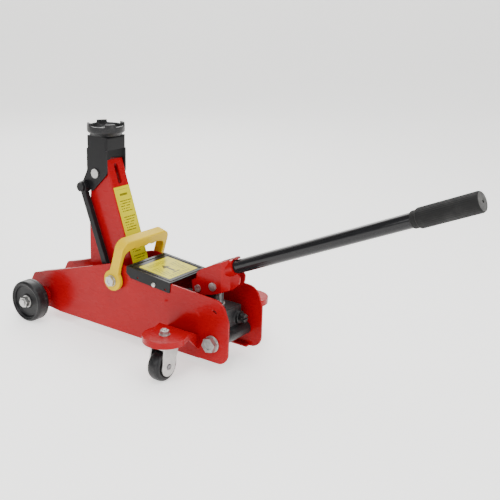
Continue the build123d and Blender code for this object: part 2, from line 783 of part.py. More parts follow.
# ---- ram and hydraulic unit ----
def ram():
    """Piston rod with its slotted crosshead and the bar that the springs pull."""
    head_front = ram_pin_x - 12
    head_rear = ram_pin_x + 27
    half = arm_half_width - arm_wall - side_gap
    head = block(head_front, head_rear, -half, half, ram_axis_z - 16, ram_axis_z + 16)
    slot_height = ram_pin_z - ram_low_z + 2 * ram_pin_r + 1.4
    slot = Pos(ram_pin_x, ram_axis_z) * Rot(0, 0, 90) * SlotOverall(slot_height, 2 * ram_pin_r + 3.2)
    head = head - slab(slot, -30, 30)
    piston_x_from = tank_front_x + nut_depth + spigot_depth + 1.0
    rod = bar_x(head_rear - 1, piston_x_from, 0, ram_axis_z, ram_r)
    piston = bar_x(piston_x_from, piston_x_from + 9, 0, ram_axis_z, cylinder_bore_r - running_gap)
    groove = seal_ring(20)
    bar = bar_y(ram_pin_x + 20, ram_axis_z, 3, -spring_y - 3.5, spring_y + 3.5)
    return head + rod + (piston - groove) + bar


def seal_ring(outer_r):
    """The seal's place on the piston, out to a given radius."""
    front = tank_front_x + nut_depth + spigot_depth + 4.0
    ring = bar_x(front, front + 3, 0, ram_axis_z, outer_r)
    return ring - bar_x(front, front + 3, 0, ram_axis_z, cylinder_bore_r - 2.5)


def piston_seal():
    return seal_ring(cylinder_bore_r - 0.02)


def cylinder_tube():
    tube = bar_x(tank_front_x + nut_depth, block_front_x, 0, ram_axis_z, cylinder_bore_r + cylinder_wall)
    return tube - bar_x(tank_front_x, block_front_x, 0, ram_axis_z, cylinder_bore_r)


def reservoir_tube():
    tube = bar_x(tank_front_x + nut_depth, block_front_x, 0, ram_axis_z, tank_r)
    hole = bar_z(filler_x, 0, ram_axis_z + cylinder_bore_r + cylinder_wall + 1, 200, 4)
    return tube - bar_x(tank_front_x, block_front_x, 0, ram_axis_z, tank_r - tank_wall) - hole


def tank_nut():
    face = Pos(0, ram_axis_z) * RegularPolygon(tank_r + 1.0, 8, major_radius=False, rotation=22.5)
    spigot_x = tank_front_x + nut_depth
    nut = extrude(Plane.YZ.offset(tank_front_x) * face, nut_depth)
    nut = nut & bar_x(tank_front_x, spigot_x, 0, ram_axis_z, tank_r + 2.2)
    spigot = bar_x(spigot_x, spigot_x + spigot_depth, 0, ram_axis_z, tank_r - tank_wall)
    spigot = spigot - bar_x(spigot_x, spigot_x + spigot_depth, 0, ram_axis_z, cylinder_bore_r + cylinder_wall)
    return nut + spigot - bar_x(tank_front_x, spigot_x + 10, 0, ram_axis_z, ram_r + running_gap)


def filler_plug():
    z = ram_axis_z + tank_r
    return bar_z(filler_x, 0, z - tank_wall - 0.5, z + 0.6, 4) + bar_z(filler_x, 0, z + 0.6, z + 3.5, 6.5)


def pump_block():
    flange = block(block_front_x, block_front_x + 12, -block_half_width, block_half_width, block_bottom_z, 94)
    body = block(block_front_x, block_rear_x, -30, 30, block_bottom_z + 4, block_top_z)
    cross = bar_y(rear_bolt_x, rear_bolt_z, boss_r, -plate_inner_y, plate_inner_y)
    lug = block(socket_pivot_x - 8, socket_pivot_x + 8, -11.8, 11.8, block_top_z - 2, socket_pivot_z)
    lug = lug + bar_y(socket_pivot_x, socket_pivot_z, 8, -11.8, 11.8)
    valve_seat = bar_x(block_rear_x - 1, block_rear_x + 5, valve_y, valve_z, valve_seat_r)
    unit = flange + body + cross + lug + valve_seat
    bores = bar_y(socket_pivot_x, socket_pivot_z, socket_pin_r + running_gap, -30, 30)
    bores = bores + both(bar_y(rear_bolt_x, rear_bolt_z, rear_bolt_r, -60, -block_half_width + 12))
    bores = bores + bar_z(piston_x, 0, barrel_base_z, 200, 8)
    bores = bores + bar_x(block_rear_x - 24, block_rear_x + 6, valve_y, valve_z, valve_r + running_gap)
    eyes = both(bar_x(block_front_x - 1, block_front_x + 8, spring_y, ram_axis_z, 1.6))
    return unit - bores - eyes


def release_valve():
    stem = bar_x(block_rear_x - 22, block_rear_x + 6, valve_y, valve_z, valve_r)
    face = Pos(valve_y, valve_z) * RegularPolygon(6, 6, major_radius=False, rotation=15)
    head = extrude(Plane.YZ.offset(block_rear_x + 5 + side_gap) * face, 9)
    slot = block(block_rear_x + 11, block_rear_x + 16, valve_y - 9, valve_y + 9, valve_z - 1, valve_z + 1)
    return stem + head - slot


def pump_barrel():
    barrel = bar_z(piston_x, 0, barrel_base_z, barrel_top_z - 1, 8)
    barrel = barrel + bar_z(piston_x, 0, block_top_z, barrel_top_z, barrel_r)
    return barrel - bar_z(piston_x, 0, barrel_base_z + 3, barrel_top_z + 1, piston_r + running_gap)


def pump_piston():
    cap_top = drive_pin_z - roller_r - side_gap
    stem = bar_z(piston_x, 0, barrel_base_z + 5, cap_top - 4, piston_r)
    return stem + bar_z(piston_x, 0, cap_top - 4.5, cap_top, piston_cap_r)


def pump_spring():
    cap_top = drive_pin_z - roller_r - side_gap
    tube = bar_z(piston_x, 0, barrel_top_z, cap_top - 4.5, piston_r + 3.0)
    return tube - bar_z(piston_x, 0, barrel_top_z, cap_top - 4.5, piston_r + 1.4)


def return_spring():
    tube = bar_x(ram_pin_x + 24.5, block_front_x - 7, -spring_y, ram_axis_z, spring_r)
    return tube - bar_x(ram_pin_x + 24.5, block_front_x - 7, -spring_y, ram_axis_z, spring_r - spring_wire)


def spring_hook():
    """The screwed eye that holds the spring's fixed end on the block."""
    shank = bar_x(block_front_x - 7, block_front_x + 8, -spring_y, ram_axis_z, 1.6)
    return shank + bar_x(block_front_x - 9, block_front_x - 6.5, -spring_y, ram_axis_z, 2.6)


# ---- pump handle ----
def socket_outline():
    points = [
        (303, 121),
        (306, 104),
        (326, 102.5),
        (342, 106),
        (354, 110.5),
        (376, 120),
        (387, 131),
        (388, 142),
        (378, 152),
        (366, 164.5),
        (344, 154.5),
        (321, 142.5),
        (313, 136),
        (312, 126),
    ]
    return rounded(points, [3, 4, 6, 10, 10, 8, 6, 5, 4, 2, 20, 8, 3, 2])


def pinched_strip():
    """A skirt seen from above: straight over the pins, then drawn in under the tube."""
    pinch_from = 359.0
    pinch_to = 371.0
    inner = socket_half_width - socket_wall
    points = [
        (290, -socket_half_width),
        (pinch_from, -socket_half_width),
        (pinch_to, -pinch_half_width),
        (400, -pinch_half_width),
        (400, -pinch_half_width + socket_wall),
        (pinch_to - 1.2, -pinch_half_width + socket_wall),
        (pinch_from - 1.2, -inner),
        (290, -inner),
    ]
    return extrude(make_face(Polyline(*points, close=True)), 200)


def handle_socket():
    """A pressed saddle: two skirts on the pins, a folded ridge, and a ring for the tube."""
    skirts = both(slab(socket_outline(), -40, 0) & pinched_strip())
    ring_r = tube_r + 0.08 + socket_wall
    ring = along_handle(socket_start, socket_end, ring_r)
    ridge = along_handle(-95, socket_start, ring_r)
    ridge = ridge - along_handle(-95, socket_start + 1, ring_r - socket_wall)
    lower = block(280, 420, -30, 30, 0, 128)
    ridge = (ridge & slab(socket_outline(), -30, 30)) - lower
    ramp = Plane(
        origin=(handle_ref_x, 0, handle_ref_z),
        x_dir=(handle_dir[0], 0, handle_dir[1]),
        z_dir=(0, -1, 0),
    )
    under = extrude(ramp * Pos(-60, -32) * Rectangle(120, 60), 30, both=True)
    ridge = ridge - under
    socket = skirts + ring + ridge
    bores = along_handle(socket_start - 1, socket_end + 1, tube_r + 0.08)
    bores = bores + along_handle(socket_end, socket_end + 40, tube_r + side_gap)
    bores = bores + bar_y(socket_pivot_x, socket_pivot_z, socket_pin_r, -30, 30)
    bores = bores + bar_y(drive_pin_x, drive_pin_z, socket_pin_r, -30, 30)
    return socket - bores


def socket_pin(x, z, head_r):
    pin = bar_y(x, z, socket_pin_r, -socket_half_width, socket_half_width)
    head = bar_y(x, z, head_r, -socket_half_width - 2.4, -socket_half_width)
    return pin + both(head)


def pump_roller():
    roller = bar_y(drive_pin_x, drive_pin_z, roller_r, -7, 7)
    return roller - bar_y(drive_pin_x, drive_pin_z, socket_pin_r, -8, 8)


def handle_tube():
    tube = along_handle(tube_start, tube_end, tube_r)
    bore = along_handle(tube_start - 1, tube_end + 1, tube_r - tube_wall)
    return tube - bore - stop_screw()


def handle_grip():
    sleeve = along_handle(grip_start, grip_start + collar_length, collar_r)
    body = along_handle(grip_start + collar_length, grip_end, grip_r)
    body = fillet(body.edges().filter_by(GeomType.CIRCLE), 2.0)
    hollow = along_handle(grip_start - 1, tube_end + 2.4, tube_r)
    vent = along_handle(tube_end, grip_end + 1, 1.8)
    return sleeve + body - hollow - vent


def tube_plug():
    """The plug driven into the tube's end under the grip."""
    plug = along_handle(tube_end - 12, tube_end, tube_r - tube_wall)
    return plug + along_handle(tube_end, tube_end + 2, tube_r - 0.2)


def stop_screw():
    """The domed screw in the tube that rests against the socket's mouth."""
    s = socket_end + 6.0
    x = handle_ref_x + s * handle_dir[0]
    z = handle_ref_z + s * handle_dir[1]
    plane = Plane(origin=(x, 0, z), x_dir=(0, 1, 0), z_dir=(-handle_dir[1], 0, handle_dir[0]))
    shank = extrude(plane.offset(tube_r - tube_wall - 2) * Circle(2.5), 6)
    head = extrude(plane.offset(tube_r + 0.8) * Circle(5.2), 4.2)
    head = fillet(head.edges().group_by(Axis(plane.origin, plane.z_dir))[-1], 2.0)
    return shank + head


# ---- carry handle ----
def carry_handle():
    """A moulded bail: two eyelets, two legs and a grip with finger waves."""
    half = eyelet_outer_y
    inner = eyelet_inner_y
    grip_top = carry_height + carry_grip / 2
    grip_bottom = carry_height - carry_grip / 2
    leg_half = carry_leg / 2
    leg_points = [
        (-leg_half - 2, 0),
        (leg_half + 2, 0),
        (leg_half, 24),
        (leg_half, grip_top),
        (-leg_half, grip_top),
        (-leg_half, 24),
    ]
    leg = make_face(Polyline(*leg_points, close=True))
    legs = slab(leg + Circle(eyelet_r), -half, half)
    opening = [(-inner, -40), (inner, -40), (inner, grip_bottom), (-inner, grip_bottom)]
    window = rounded(opening, [1, 1, 11, 11])
    bail = legs - extrude(Plane.YZ.offset(-40) * window, 80)
    frame = rounded([(-half, -40), (half, -40), (half, grip_top), (-half, grip_top)], [1, 1, 14, 14])
    bail = bail & extrude(Plane.YZ.offset(-40) * frame, 80)
    for y in (-27, -9, 9, 27):
        wave = Pos(0, y, grip_bottom - 7.0) * Rot(0, 90, 0) * Cylinder(9, 40)
        bail = bail - wave
    bail = bail - slab(Circle(handle_bolt_r + running_gap), -80, 80)
    return Pos(pivot_x, 0, pivot_z) * Rot(0, carry_lean, 0) * bail


def main():
    os.makedirs("parts", exist_ok=True)
    place("side_plate_left", side_plate(True))
    place("side_plate_right", mirror(side_plate(False), about=Plane.XZ))
    place("floor_pan", floor_pan())
    place("mid_tie", mid_tie())
    place("front_axles", both(front_axle()))
    place("axle_washers", both(axle_washer()))
    place("axle_nuts", both(axle_nut()))
    place("pivot_shaft", pivot_shaft())
    place("shaft_spacers", both(shaft_spacer()))
    place("carry_handle_bolts", both(carry_bolt()))
    place("link_anchors", both(link_anchor()))
    place("cover_plate", cover_plate())
    place("cover_label", cover_label())
    place("cover_screws", cover_screws())
    place("rear_bolts", both(rear_bolt()))
    place("rear_washers", both(rear_washer()))
    pair("caster_wing", caster_wing())
    place("stud_nuts", both(stud_nut()))
    place("swivel_cups", both(swivel_cup()))
    pair("caster_fork", caster_fork())
    pair("caster_axle", caster_axle())
    pair("caster_wheel", caster_wheel())
    pair("front_wheel", front_wheel())
    place("lift_arm", lift_arm())
    place("arm_label", arm_label())
    place("ram_pin", ram_pin())
    place("yoke_pin", yoke_pin())
    place("saddle_yoke", saddle_yoke())
    place("link_bolts", both(link_bolt()))
    pair("link_rod", link_rod())
    place("saddle", saddle())
    place("saddle_clip", saddle_clip())
    place("ram", ram())
    place("piston_seal", piston_seal())
    place("cylinder_tube", cylinder_tube())
    place("reservoir_tube", reservoir_tube())
    place("tank_nut", tank_nut())
    place("filler_plug", filler_plug())
    place("pump_block", pump_block())
    place("release_valve", release_valve())
    place("pump_barrel", pump_barrel())
    place("pump_piston", pump_piston())
    place("pump_spring", pump_spring())
    place("return_springs", both(return_spring()))
    place("spring_hooks", both(spring_hook()))
    place("handle_socket", handle_socket())
    place("socket_pivot_pin", socket_pin(socket_pivot_x, socket_pivot_z, 5.6))
    place("drive_pin", socket_pin(drive_pin_x, drive_pin_z, 6.6))
    place("pump_roller", pump_roller())
    place("handle_tube", handle_tube())
    place("handle_grip", handle_grip())
    place("tube_plug", tube_plug())
    place("stop_screw", stop_screw())
    place("carry_handle", carry_handle())


main()
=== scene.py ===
"""Looks of a two-tonne trolley jack: paint, plating, plastics and the detailed pieces, on a fixed frame."""

import json
import math

import bmesh
import bpy
from bpy.props import FloatProperty, FloatVectorProperty, IntProperty, PointerProperty
from mathutils import Matrix, Vector

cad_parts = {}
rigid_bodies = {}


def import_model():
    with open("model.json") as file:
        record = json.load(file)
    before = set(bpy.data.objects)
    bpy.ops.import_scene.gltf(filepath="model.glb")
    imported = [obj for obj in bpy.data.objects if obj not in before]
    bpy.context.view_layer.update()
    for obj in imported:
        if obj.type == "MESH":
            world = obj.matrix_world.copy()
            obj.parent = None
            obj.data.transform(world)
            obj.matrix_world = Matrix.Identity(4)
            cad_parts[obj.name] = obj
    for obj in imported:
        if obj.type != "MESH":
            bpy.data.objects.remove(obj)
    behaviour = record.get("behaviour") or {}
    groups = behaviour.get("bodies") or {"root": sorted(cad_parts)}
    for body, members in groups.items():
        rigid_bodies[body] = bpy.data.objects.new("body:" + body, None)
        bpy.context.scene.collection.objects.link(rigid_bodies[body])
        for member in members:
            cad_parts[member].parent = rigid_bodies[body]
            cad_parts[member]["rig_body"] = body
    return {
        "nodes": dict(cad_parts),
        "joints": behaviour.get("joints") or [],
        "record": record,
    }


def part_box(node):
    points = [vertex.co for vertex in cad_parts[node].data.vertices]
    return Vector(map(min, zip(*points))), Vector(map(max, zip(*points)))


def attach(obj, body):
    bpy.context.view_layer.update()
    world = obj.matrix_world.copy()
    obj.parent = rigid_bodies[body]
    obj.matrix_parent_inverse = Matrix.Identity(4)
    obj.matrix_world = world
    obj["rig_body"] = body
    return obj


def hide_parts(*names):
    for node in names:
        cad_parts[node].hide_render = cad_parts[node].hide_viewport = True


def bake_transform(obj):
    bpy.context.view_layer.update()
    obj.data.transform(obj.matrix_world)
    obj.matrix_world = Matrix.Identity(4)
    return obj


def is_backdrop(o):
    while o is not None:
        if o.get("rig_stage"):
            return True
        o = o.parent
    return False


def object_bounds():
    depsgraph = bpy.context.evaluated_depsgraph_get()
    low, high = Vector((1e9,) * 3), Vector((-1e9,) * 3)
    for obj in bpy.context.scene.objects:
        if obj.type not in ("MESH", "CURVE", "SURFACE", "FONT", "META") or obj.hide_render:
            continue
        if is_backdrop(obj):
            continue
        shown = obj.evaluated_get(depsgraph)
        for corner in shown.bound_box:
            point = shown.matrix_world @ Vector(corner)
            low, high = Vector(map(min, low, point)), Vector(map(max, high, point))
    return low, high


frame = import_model()

bl_info = {
    "name": "Trolley Jack",
    "version": (1, 0, 0),
    "blender": (4, 5, 0),
    "location": "View3D > Sidebar > Trolley Jack",
    "description": "Builds the painted, plated and moulded pieces of a trolley jack on its frame",
    "category": "Object",
}

MM = 0.001
ALONG_X = Vector((1, 0, 0))
ALONG_Y = Vector((0, 1, 0))
ALONG_Z = Vector((0, 0, 1))
SIDES = {"left": -1, "right": 1}
BODY_OF = {node: body for body, nodes in frame["record"]["behaviour"]["bodies"].items() for node in nodes}
JOINTS = {joint["name"]: joint for joint in frame["joints"]}


# ---------------------------------------------------------------- settings
class JackFinish(bpy.types.PropertyGroup):
    """Colours and surface condition."""

    red: FloatVectorProperty(
        name="Red enamel", description="Colour of the frame and arm", subtype="COLOR", default=(0.33, 0.0, 0.0035)
    )
    black: FloatVectorProperty(
        name="Black enamel", description="Colour of the yoke, links and tube", subtype="COLOR",
        default=(0.009, 0.009, 0.010)
    )
    yellow: FloatVectorProperty(
        name="Yellow plastic", description="Colour of the carry handle", subtype="COLOR",
        default=(0.68, 0.46, 0.0)
    )
    film: FloatVectorProperty(
        name="Label film", description="Colour of the printed labels", subtype="COLOR", default=(0.60, 0.53, 0.0)
    )
    zinc: FloatVectorProperty(
        name="Zinc plate", description="Colour of nuts, bolts and forks", subtype="COLOR",
        default=(0.47, 0.47, 0.46)
    )
    wear: FloatProperty(
        name="Edge wear", description="Share of each edge where paint has chipped", subtype="FACTOR",
        default=0.22, min=0, max=1
    )


class JackSizes(bpy.types.PropertyGroup):
    """Sizes of the fine detail."""

    sheet_edge: FloatProperty(
        name="Sheet edge", description="Radius on the edges of pressed sheet", unit="LENGTH", default=0.5 * MM
    )
    weld_width: FloatProperty(
        name="Weld width", description="Width of a weld bead", unit="LENGTH", default=3.4 * MM
    )
    round_steps: IntProperty(
        name="Round steps", description="Sides of a turned piece", default=96, min=24, max=256
    )


class JackStage(bpy.types.PropertyGroup):
    """Floor, lights and camera."""

    focal: FloatProperty(name="Focal length", description="Camera lens in millimetres", default=64.6)
    key_power: FloatProperty(name="Key light", description="Power of the main softbox", unit="POWER", default=36)
    floor: FloatVectorProperty(
        name="Floor", description="Colour of the floor", subtype="COLOR", default=(0.83, 0.825, 0.81)
    )


# ---------------------------------------------------------------- shader maths
class Value:
    """One output of a shader node, which Python's own operators work on."""

    def __init__(self, paint, socket):
        self.paint = paint
        self.socket = socket

    def maths(self, operation, first, second=0.0, third=0.0):
        inputs = {0: first, 1: second, 2: third}
        return self.paint.add("ShaderNodeMath", {"operation": operation}, inputs)["Value"]

    def __add__(self, other):
        return self.maths("ADD", self, other)

    def __radd__(self, other):
        return self.maths("ADD", other, self)

    def __sub__(self, other):
        return self.maths("SUBTRACT", self, other)

    def __rsub__(self, other):
        return self.maths("SUBTRACT", other, self)

    def __mul__(self, other):
        return self.maths("MULTIPLY", self, other)

    def __rmul__(self, other):
        return self.maths("MULTIPLY", other, self)

    def __truediv__(self, other):
        return self.maths("DIVIDE", self, other)

    def __gt__(self, other):
        return self.maths("GREATER_THAN", self, other)

    def __lt__(self, other):
        return self.maths("LESS_THAN", self, other)

    def wrapped(self, period):
        return self.maths("FLOORED_MODULO", self, period)

    def floor(self):
        return self.maths("FLOOR", self)

    def distance_to(self, other):
        return self.maths("ABSOLUTE", self - other)

    def ramp(self, low, high):
        """0 below low, 1 above high, and smooth between them."""
        settings = {"interpolation_type": "SMOOTHSTEP"}
        inputs = {"Value": self, "From Min": low, "From Max": high}
        return self.paint.add("ShaderNodeMapRange", settings, inputs)["Result"]


class Paint:
    """A material while its nodes are laid out."""

    def __init__(self, name):
        self.material = bpy.data.materials.new(name)
        self.material.use_nodes = True
        self.tree = self.material.node_tree
        self.tree.nodes.clear()
        output = self.tree.nodes.new("ShaderNodeOutputMaterial")
        self.shader = self.tree.nodes.new("ShaderNodeBsdfPrincipled")
        self.tree.links.new(self.shader.outputs[0], output.inputs["Surface"])
        self.place = self.add("ShaderNodeTexCoord")["Object"]

    def add(self, kind, settings=None, inputs=None):
        """Adds a node: settings first, then a value or a link for each socket named in inputs."""
        node = self.tree.nodes.new(kind)
        for key, value in (settings or {}).items():
            setattr(node, key, value)
        for key, value in (inputs or {}).items():
            self.feed(node.inputs[key], value)
        return {output.identifier: Value(self, output) for output in node.outputs}

    def feed(self, socket, value):
        if isinstance(value, Value):
            self.tree.links.new(value.socket, socket)
        elif socket.type == "RGBA" and len(value) == 3:
            socket.default_value = (*value, 1.0)
        else:
            socket.default_value = value

    def noise(self, per_metre, detail=3.0, roughness=0.5, place=None):
        inputs = {
            "Vector": place or self.place,
            "Scale": per_metre,
            "Detail": detail,
            "Roughness": roughness,
        }
        return self.add("ShaderNodeTexNoise", {}, inputs)["Fac"]

    def stretched(self, x, y, z):
        """The place on the piece with each axis scaled by itself."""
        inputs = {0: self.place, 1: (x, y, z)}
        return self.add("ShaderNodeVectorMath", {"operation": "MULTIPLY"}, inputs)["Vector"]

    def cells(self, per_metre):
        inputs = {"Vector": self.place, "Scale": per_metre}
        return self.add("ShaderNodeTexVoronoi", {"feature": "F1"}, inputs)["Distance"]

    def blend(self, factor, low, high):
        inputs = {"Factor_Float": factor, "A_Color": low, "B_Color": high}
        node = self.tree.nodes.new("ShaderNodeMix")
        node.data_type = "RGBA"
        for socket in node.inputs:
            if socket.identifier in inputs:
                self.feed(socket, inputs[socket.identifier])
        return Value(self, next(s for s in node.outputs if s.identifier == "Result_Color"))

    def attribute(self, name, output="Fac"):
        return self.add("ShaderNodeAttribute", {"attribute_name": name})[output]

    def split(self, vector):
        return self.add("ShaderNodeSeparateXYZ", {}, {0: vector})

    def bump(self, height, depth, strength=1.0, under=None):
        inputs = {"Height": height, "Distance": depth, "Strength": strength}
        if under is not None:
            inputs["Normal"] = under
        return self.add("ShaderNodeBump", {}, inputs)["Normal"]

    def finish(self, **sockets):
        """Sets or links the surface's own sockets; a word's underscores stand for spaces."""
        for key, value in sockets.items():
            self.feed(self.shader.inputs[key.replace("_", " ")], value)
        return self.material


def tint(colour, share):
    return tuple(channel * share for channel in colour)


def toward(colour, other, share):
    return tuple(a + (b - a) * share for a, b in zip(colour, other))


# ---------------------------------------------------------------- finishes
def enamel(name, colour, gloss, peel, chip):
    """Sprayed enamel: faint orange peel, handling marks, a little dust and chipped edges."""
    paint = Paint(name)
    wear = bpy.context.scene.jack_finish.wear
    cloud = paint.noise(11, 4, 0.6)
    colour_map = paint.blend(cloud.ramp(0.3, 0.75), tint(colour, 0.86), colour)
    dust = paint.noise(1500, 2, 0.7).ramp(0.72, 0.80) * paint.noise(26, 3).ramp(0.42, 0.7)
    colour_map = paint.blend(dust * 0.16, colour_map, (0.62, 0.60, 0.57))
    edge = paint.attribute("edge")
    chips = edge * paint.noise(230, 4, 0.65).ramp(0.80 - wear * 0.5, 0.84 - wear * 0.5)
    rubbed = edge * paint.noise(60, 3, 0.5).ramp(0.45, 0.7)
    colour_map = paint.blend(rubbed * 0.10, colour_map, toward(colour, (0.9, 0.9, 0.9), 0.22))
    colour_map = paint.blend(chips * chip, colour_map, (0.19, 0.18, 0.17))
    smears = paint.noise(1.0, 5, 0.6, paint.stretched(34, 20, 90)).ramp(0.45, 0.75)
    rough = gloss + smears * 0.12 + dust * 0.25 + chips * 0.25
    orange = paint.noise(430, 2, 0.45)
    fine = paint.noise(2300, 2, 0.5)
    normal = paint.bump(orange + fine * 0.12, peel)
    return paint.finish(
        Base_Color=colour_map, Roughness=rough, Metallic=chips * chip * 0.8, Normal=normal,
        Coat_Weight=0.07, Coat_Roughness=0.10, Specular_IOR_Level=0.14,
    )


def red_enamel():
    return enamel("red enamel", bpy.context.scene.jack_finish.red, 0.27, 0.000045, 0.85)


def black_enamel():
    return enamel("black enamel", bpy.context.scene.jack_finish.black, 0.30, 0.00006, 0.7)


def tube_enamel():
    """The pump tube's deep gloss, with fine rub marks round it where it slides in its socket."""
    paint = Paint("tube enamel")
    colour = bpy.context.scene.jack_finish.black
    rings = paint.noise(1.0, 3, 0.6, paint.stretched(900, 40, 900)).ramp(0.60, 0.80)
    far = paint.split(paint.place)["X"].ramp(0.052, 0.030)
    worn = rings * far
    colour_map = paint.blend(worn * 0.6, colour, (0.12, 0.12, 0.12))
    rough = 0.13 + paint.noise(30, 4).ramp(0.4, 0.8) * 0.10 + worn * 0.2
    normal = paint.bump(paint.noise(330, 2, 0.4), 0.00004)
    return paint.finish(
        Base_Color=colour_map, Roughness=rough, Normal=normal, Coat_Weight=0.15, Coat_Roughness=0.04,
        Specular_IOR_Level=0.22,
    )


def casting(name, colour, rough_at, grain, pits):
    """A painted sand casting: rounded grain, small pits and duller high spots."""
    paint = Paint(name)
    coarse = paint.noise(380, 5, 0.62)
    pit = 1 - paint.cells(620).ramp(0.12, 0.42)
    high = coarse.ramp(0.5, 0.72)
    colour_map = paint.blend(high * 0.5, colour, toward(colour, (0.35, 0.34, 0.33), 0.12))
    edge = paint.attribute("edge")
    chips = edge * paint.noise(170, 4, 0.7).ramp(0.55, 0.62)
    colour_map = paint.blend(chips * 0.6, colour_map, (0.22, 0.21, 0.20))
    rough = rough_at + coarse.ramp(0.3, 0.8) * 0.18
    normal = paint.bump(coarse * 0.8 - pit * pits, grain)
    return paint.finish(
        Base_Color=colour_map, Roughness=rough, Normal=normal, Coat_Weight=0.12, Coat_Roughness=0.2,
        Specular_IOR_Level=0.25,
    )


def cast_black():
    return casting("cast black", (0.009, 0.009, 0.010), 0.34, 0.00035, 0.5)


def zinc_plate():
    """Bright zinc: slightly mottled, cloudy plating with faint handling marks."""
    paint = Paint("zinc plate")
    colour = bpy.context.scene.jack_finish.zinc
    cloud = paint.noise(240, 4, 0.6)
    spangle = paint.cells(900).ramp(0.1, 0.6)
    colour_map = paint.blend(cloud.ramp(0.35, 0.7), tint(colour, 0.80), colour)
    colour_map = paint.blend(spangle * 0.12, colour_map, (0.78, 0.75, 0.70))
    edge = paint.attribute("edge")
    colour_map = paint.blend(edge * 0.35, colour_map, (0.80, 0.80, 0.79))
    rough = 0.27 + cloud * 0.16 - edge * 0.08
    normal = paint.bump(paint.noise(1300, 3, 0.6) + cloud * 0.6, 0.00003)
    return paint.finish(Base_Color=colour_map, Roughness=rough, Metallic=0.92, Normal=normal)


def ground_steel(name="ground steel", colour=(0.56, 0.55, 0.54), shine=0.22):
    """Machined steel with a film of oil and fine turning marks."""
    paint = Paint(name)
    marks = paint.noise(1.0, 2, 0.5, paint.stretched(2600, 300, 300))
    oil = paint.noise(45, 4, 0.6).ramp(0.45, 0.7)
    colour_map = paint.blend(oil * 0.55, colour, (0.30, 0.27, 0.22))
    rough = shine + marks * 0.18
    return paint.finish(
        Base_Color=colour_map, Roughness=rough, Metallic=1.0, Normal=paint.bump(marks, 0.000015)
    )


def spring_wire():
    return ground_steel("spring wire", (0.20, 0.20, 0.21), 0.3)


def wheel_plastic():
    """Satin black moulding: fine spark texture on the tread, scuffs and grey dust near the floor."""
    paint = Paint("wheel plastic")
    texture = paint.noise(2600, 2, 0.6)
    scuff = paint.attribute("tread") * paint.noise(1.0, 4, 0.7, paint.stretched(260, 90, 260)).ramp(0.50, 0.72)
    dust = paint.noise(90, 5, 0.65).ramp(0.50, 0.8)
    colour_map = paint.blend(scuff * 0.30, (0.008, 0.008, 0.009), (0.11, 0.105, 0.10))
    colour_map = paint.blend(dust * 0.05, colour_map, (0.34, 0.33, 0.31))
    rough = 0.36 + scuff * 0.3 + dust * 0.12
    return paint.finish(
        Base_Color=colour_map, Roughness=rough, Normal=paint.bump(texture, 0.00004), Specular_IOR_Level=0.26
    )


def grip_plastic():
    """Matte grip with a leathery grain that is polished on its ribs."""
    paint = Paint("grip plastic")
    grain = paint.cells(1500).ramp(0.0, 0.6)
    wear = paint.noise(34, 4, 0.6).ramp(0.48, 0.75)
    colour_map = paint.blend(wear * 0.5, (0.007, 0.007, 0.007), (0.018, 0.018, 0.017))
    rough = 0.62 - wear * 0.16 + grain * 0.08
    normal = paint.bump(grain + paint.noise(900, 3) * 0.5, 0.00008)
    return paint.finish(Base_Color=colour_map, Roughness=rough, Normal=normal, Specular_IOR_Level=0.22)


def cap_plastic():
    """The paler, rubbed end of the grip."""
    paint = Paint("grip end")
    rubbed = paint.noise(260, 5, 0.7).ramp(0.35, 0.7)
    colour_map = paint.blend(rubbed, (0.045, 0.045, 0.043), (0.105, 0.104, 0.10))
    normal = paint.bump(paint.noise(1200, 3), 0.00006)
    return paint.finish(Base_Color=colour_map, Roughness=0.55 + rubbed * 0.15, Normal=normal)


def yellow_plastic():
    """Yellow moulding with faint flow marks and soft grime in the corners."""
    paint = Paint("yellow plastic")
    colour = bpy.context.scene.jack_finish.yellow
    flow = paint.noise(1.0, 3, 0.5, paint.stretched(40, 22, 60)).ramp(0.35, 0.75)
    colour_map = paint.blend(flow, tint(colour, 0.90), colour)
    grime = paint.noise(70, 5, 0.7).ramp(0.62, 0.85)
    colour_map = paint.blend(grime * 0.22, colour_map, (0.36, 0.22, 0.02))
    scratches = paint.noise(1.0, 2, 0.5, paint.stretched(1400, 160, 700)).ramp(0.66, 0.72)
    rough = 0.33 + flow * 0.07 + scratches * 0.15
    normal = paint.bump(paint.noise(700, 3, 0.5) + scratches * -0.4, 0.00004)
    return paint.finish(
        Base_Color=colour_map, Roughness=rough, Normal=normal, Specular_IOR_Level=0.16,
    )


def red_cap():
    paint = Paint("red cap")
    colour_map = paint.blend(paint.noise(300, 3), (0.14, 0.003, 0.005), (0.24, 0.006, 0.008))
    rough = 0.25 + paint.noise(800, 3) * 0.15
    return paint.finish(Base_Color=colour_map, Roughness=rough, Normal=paint.bump(paint.noise(1500, 2), 0.00003))


def seal_rubber():
    paint = Paint("seal rubber")
    colour_map = paint.blend(paint.noise(500, 3), (0.012, 0.012, 0.012), (0.03, 0.03, 0.03))
    return paint.finish(Base_Color=colour_map, Roughness=0.6, Normal=paint.bump(paint.noise(1500, 2), 0.00003))


def band(value, low, high):
    """1 between two lines across the label, 0 outside them."""
    return (value > low) * (value < high)


def printed_rows(paint, u, v, first, last, pitch, left, right):
    """Lines of unreadable fine print: rows of dashes, ragged at the right."""
    row = (v - first) / pitch
    number = row.floor()
    across = row.wrapped(1.0)
    ragged = right - (number * 7.31).wrapped(1.0) * (right - left) * 0.30
    words = paint.add("ShaderNodeCombineXYZ", {}, {"X": u * 420.0, "Y": number * 9.7})["Vector"]
    dashes = paint.noise(1.0, 1, 0.5, words) > 0.42
    return band(v, first, last) * band(across, 0.30, 0.66) * band(u, left, ragged) * dashes


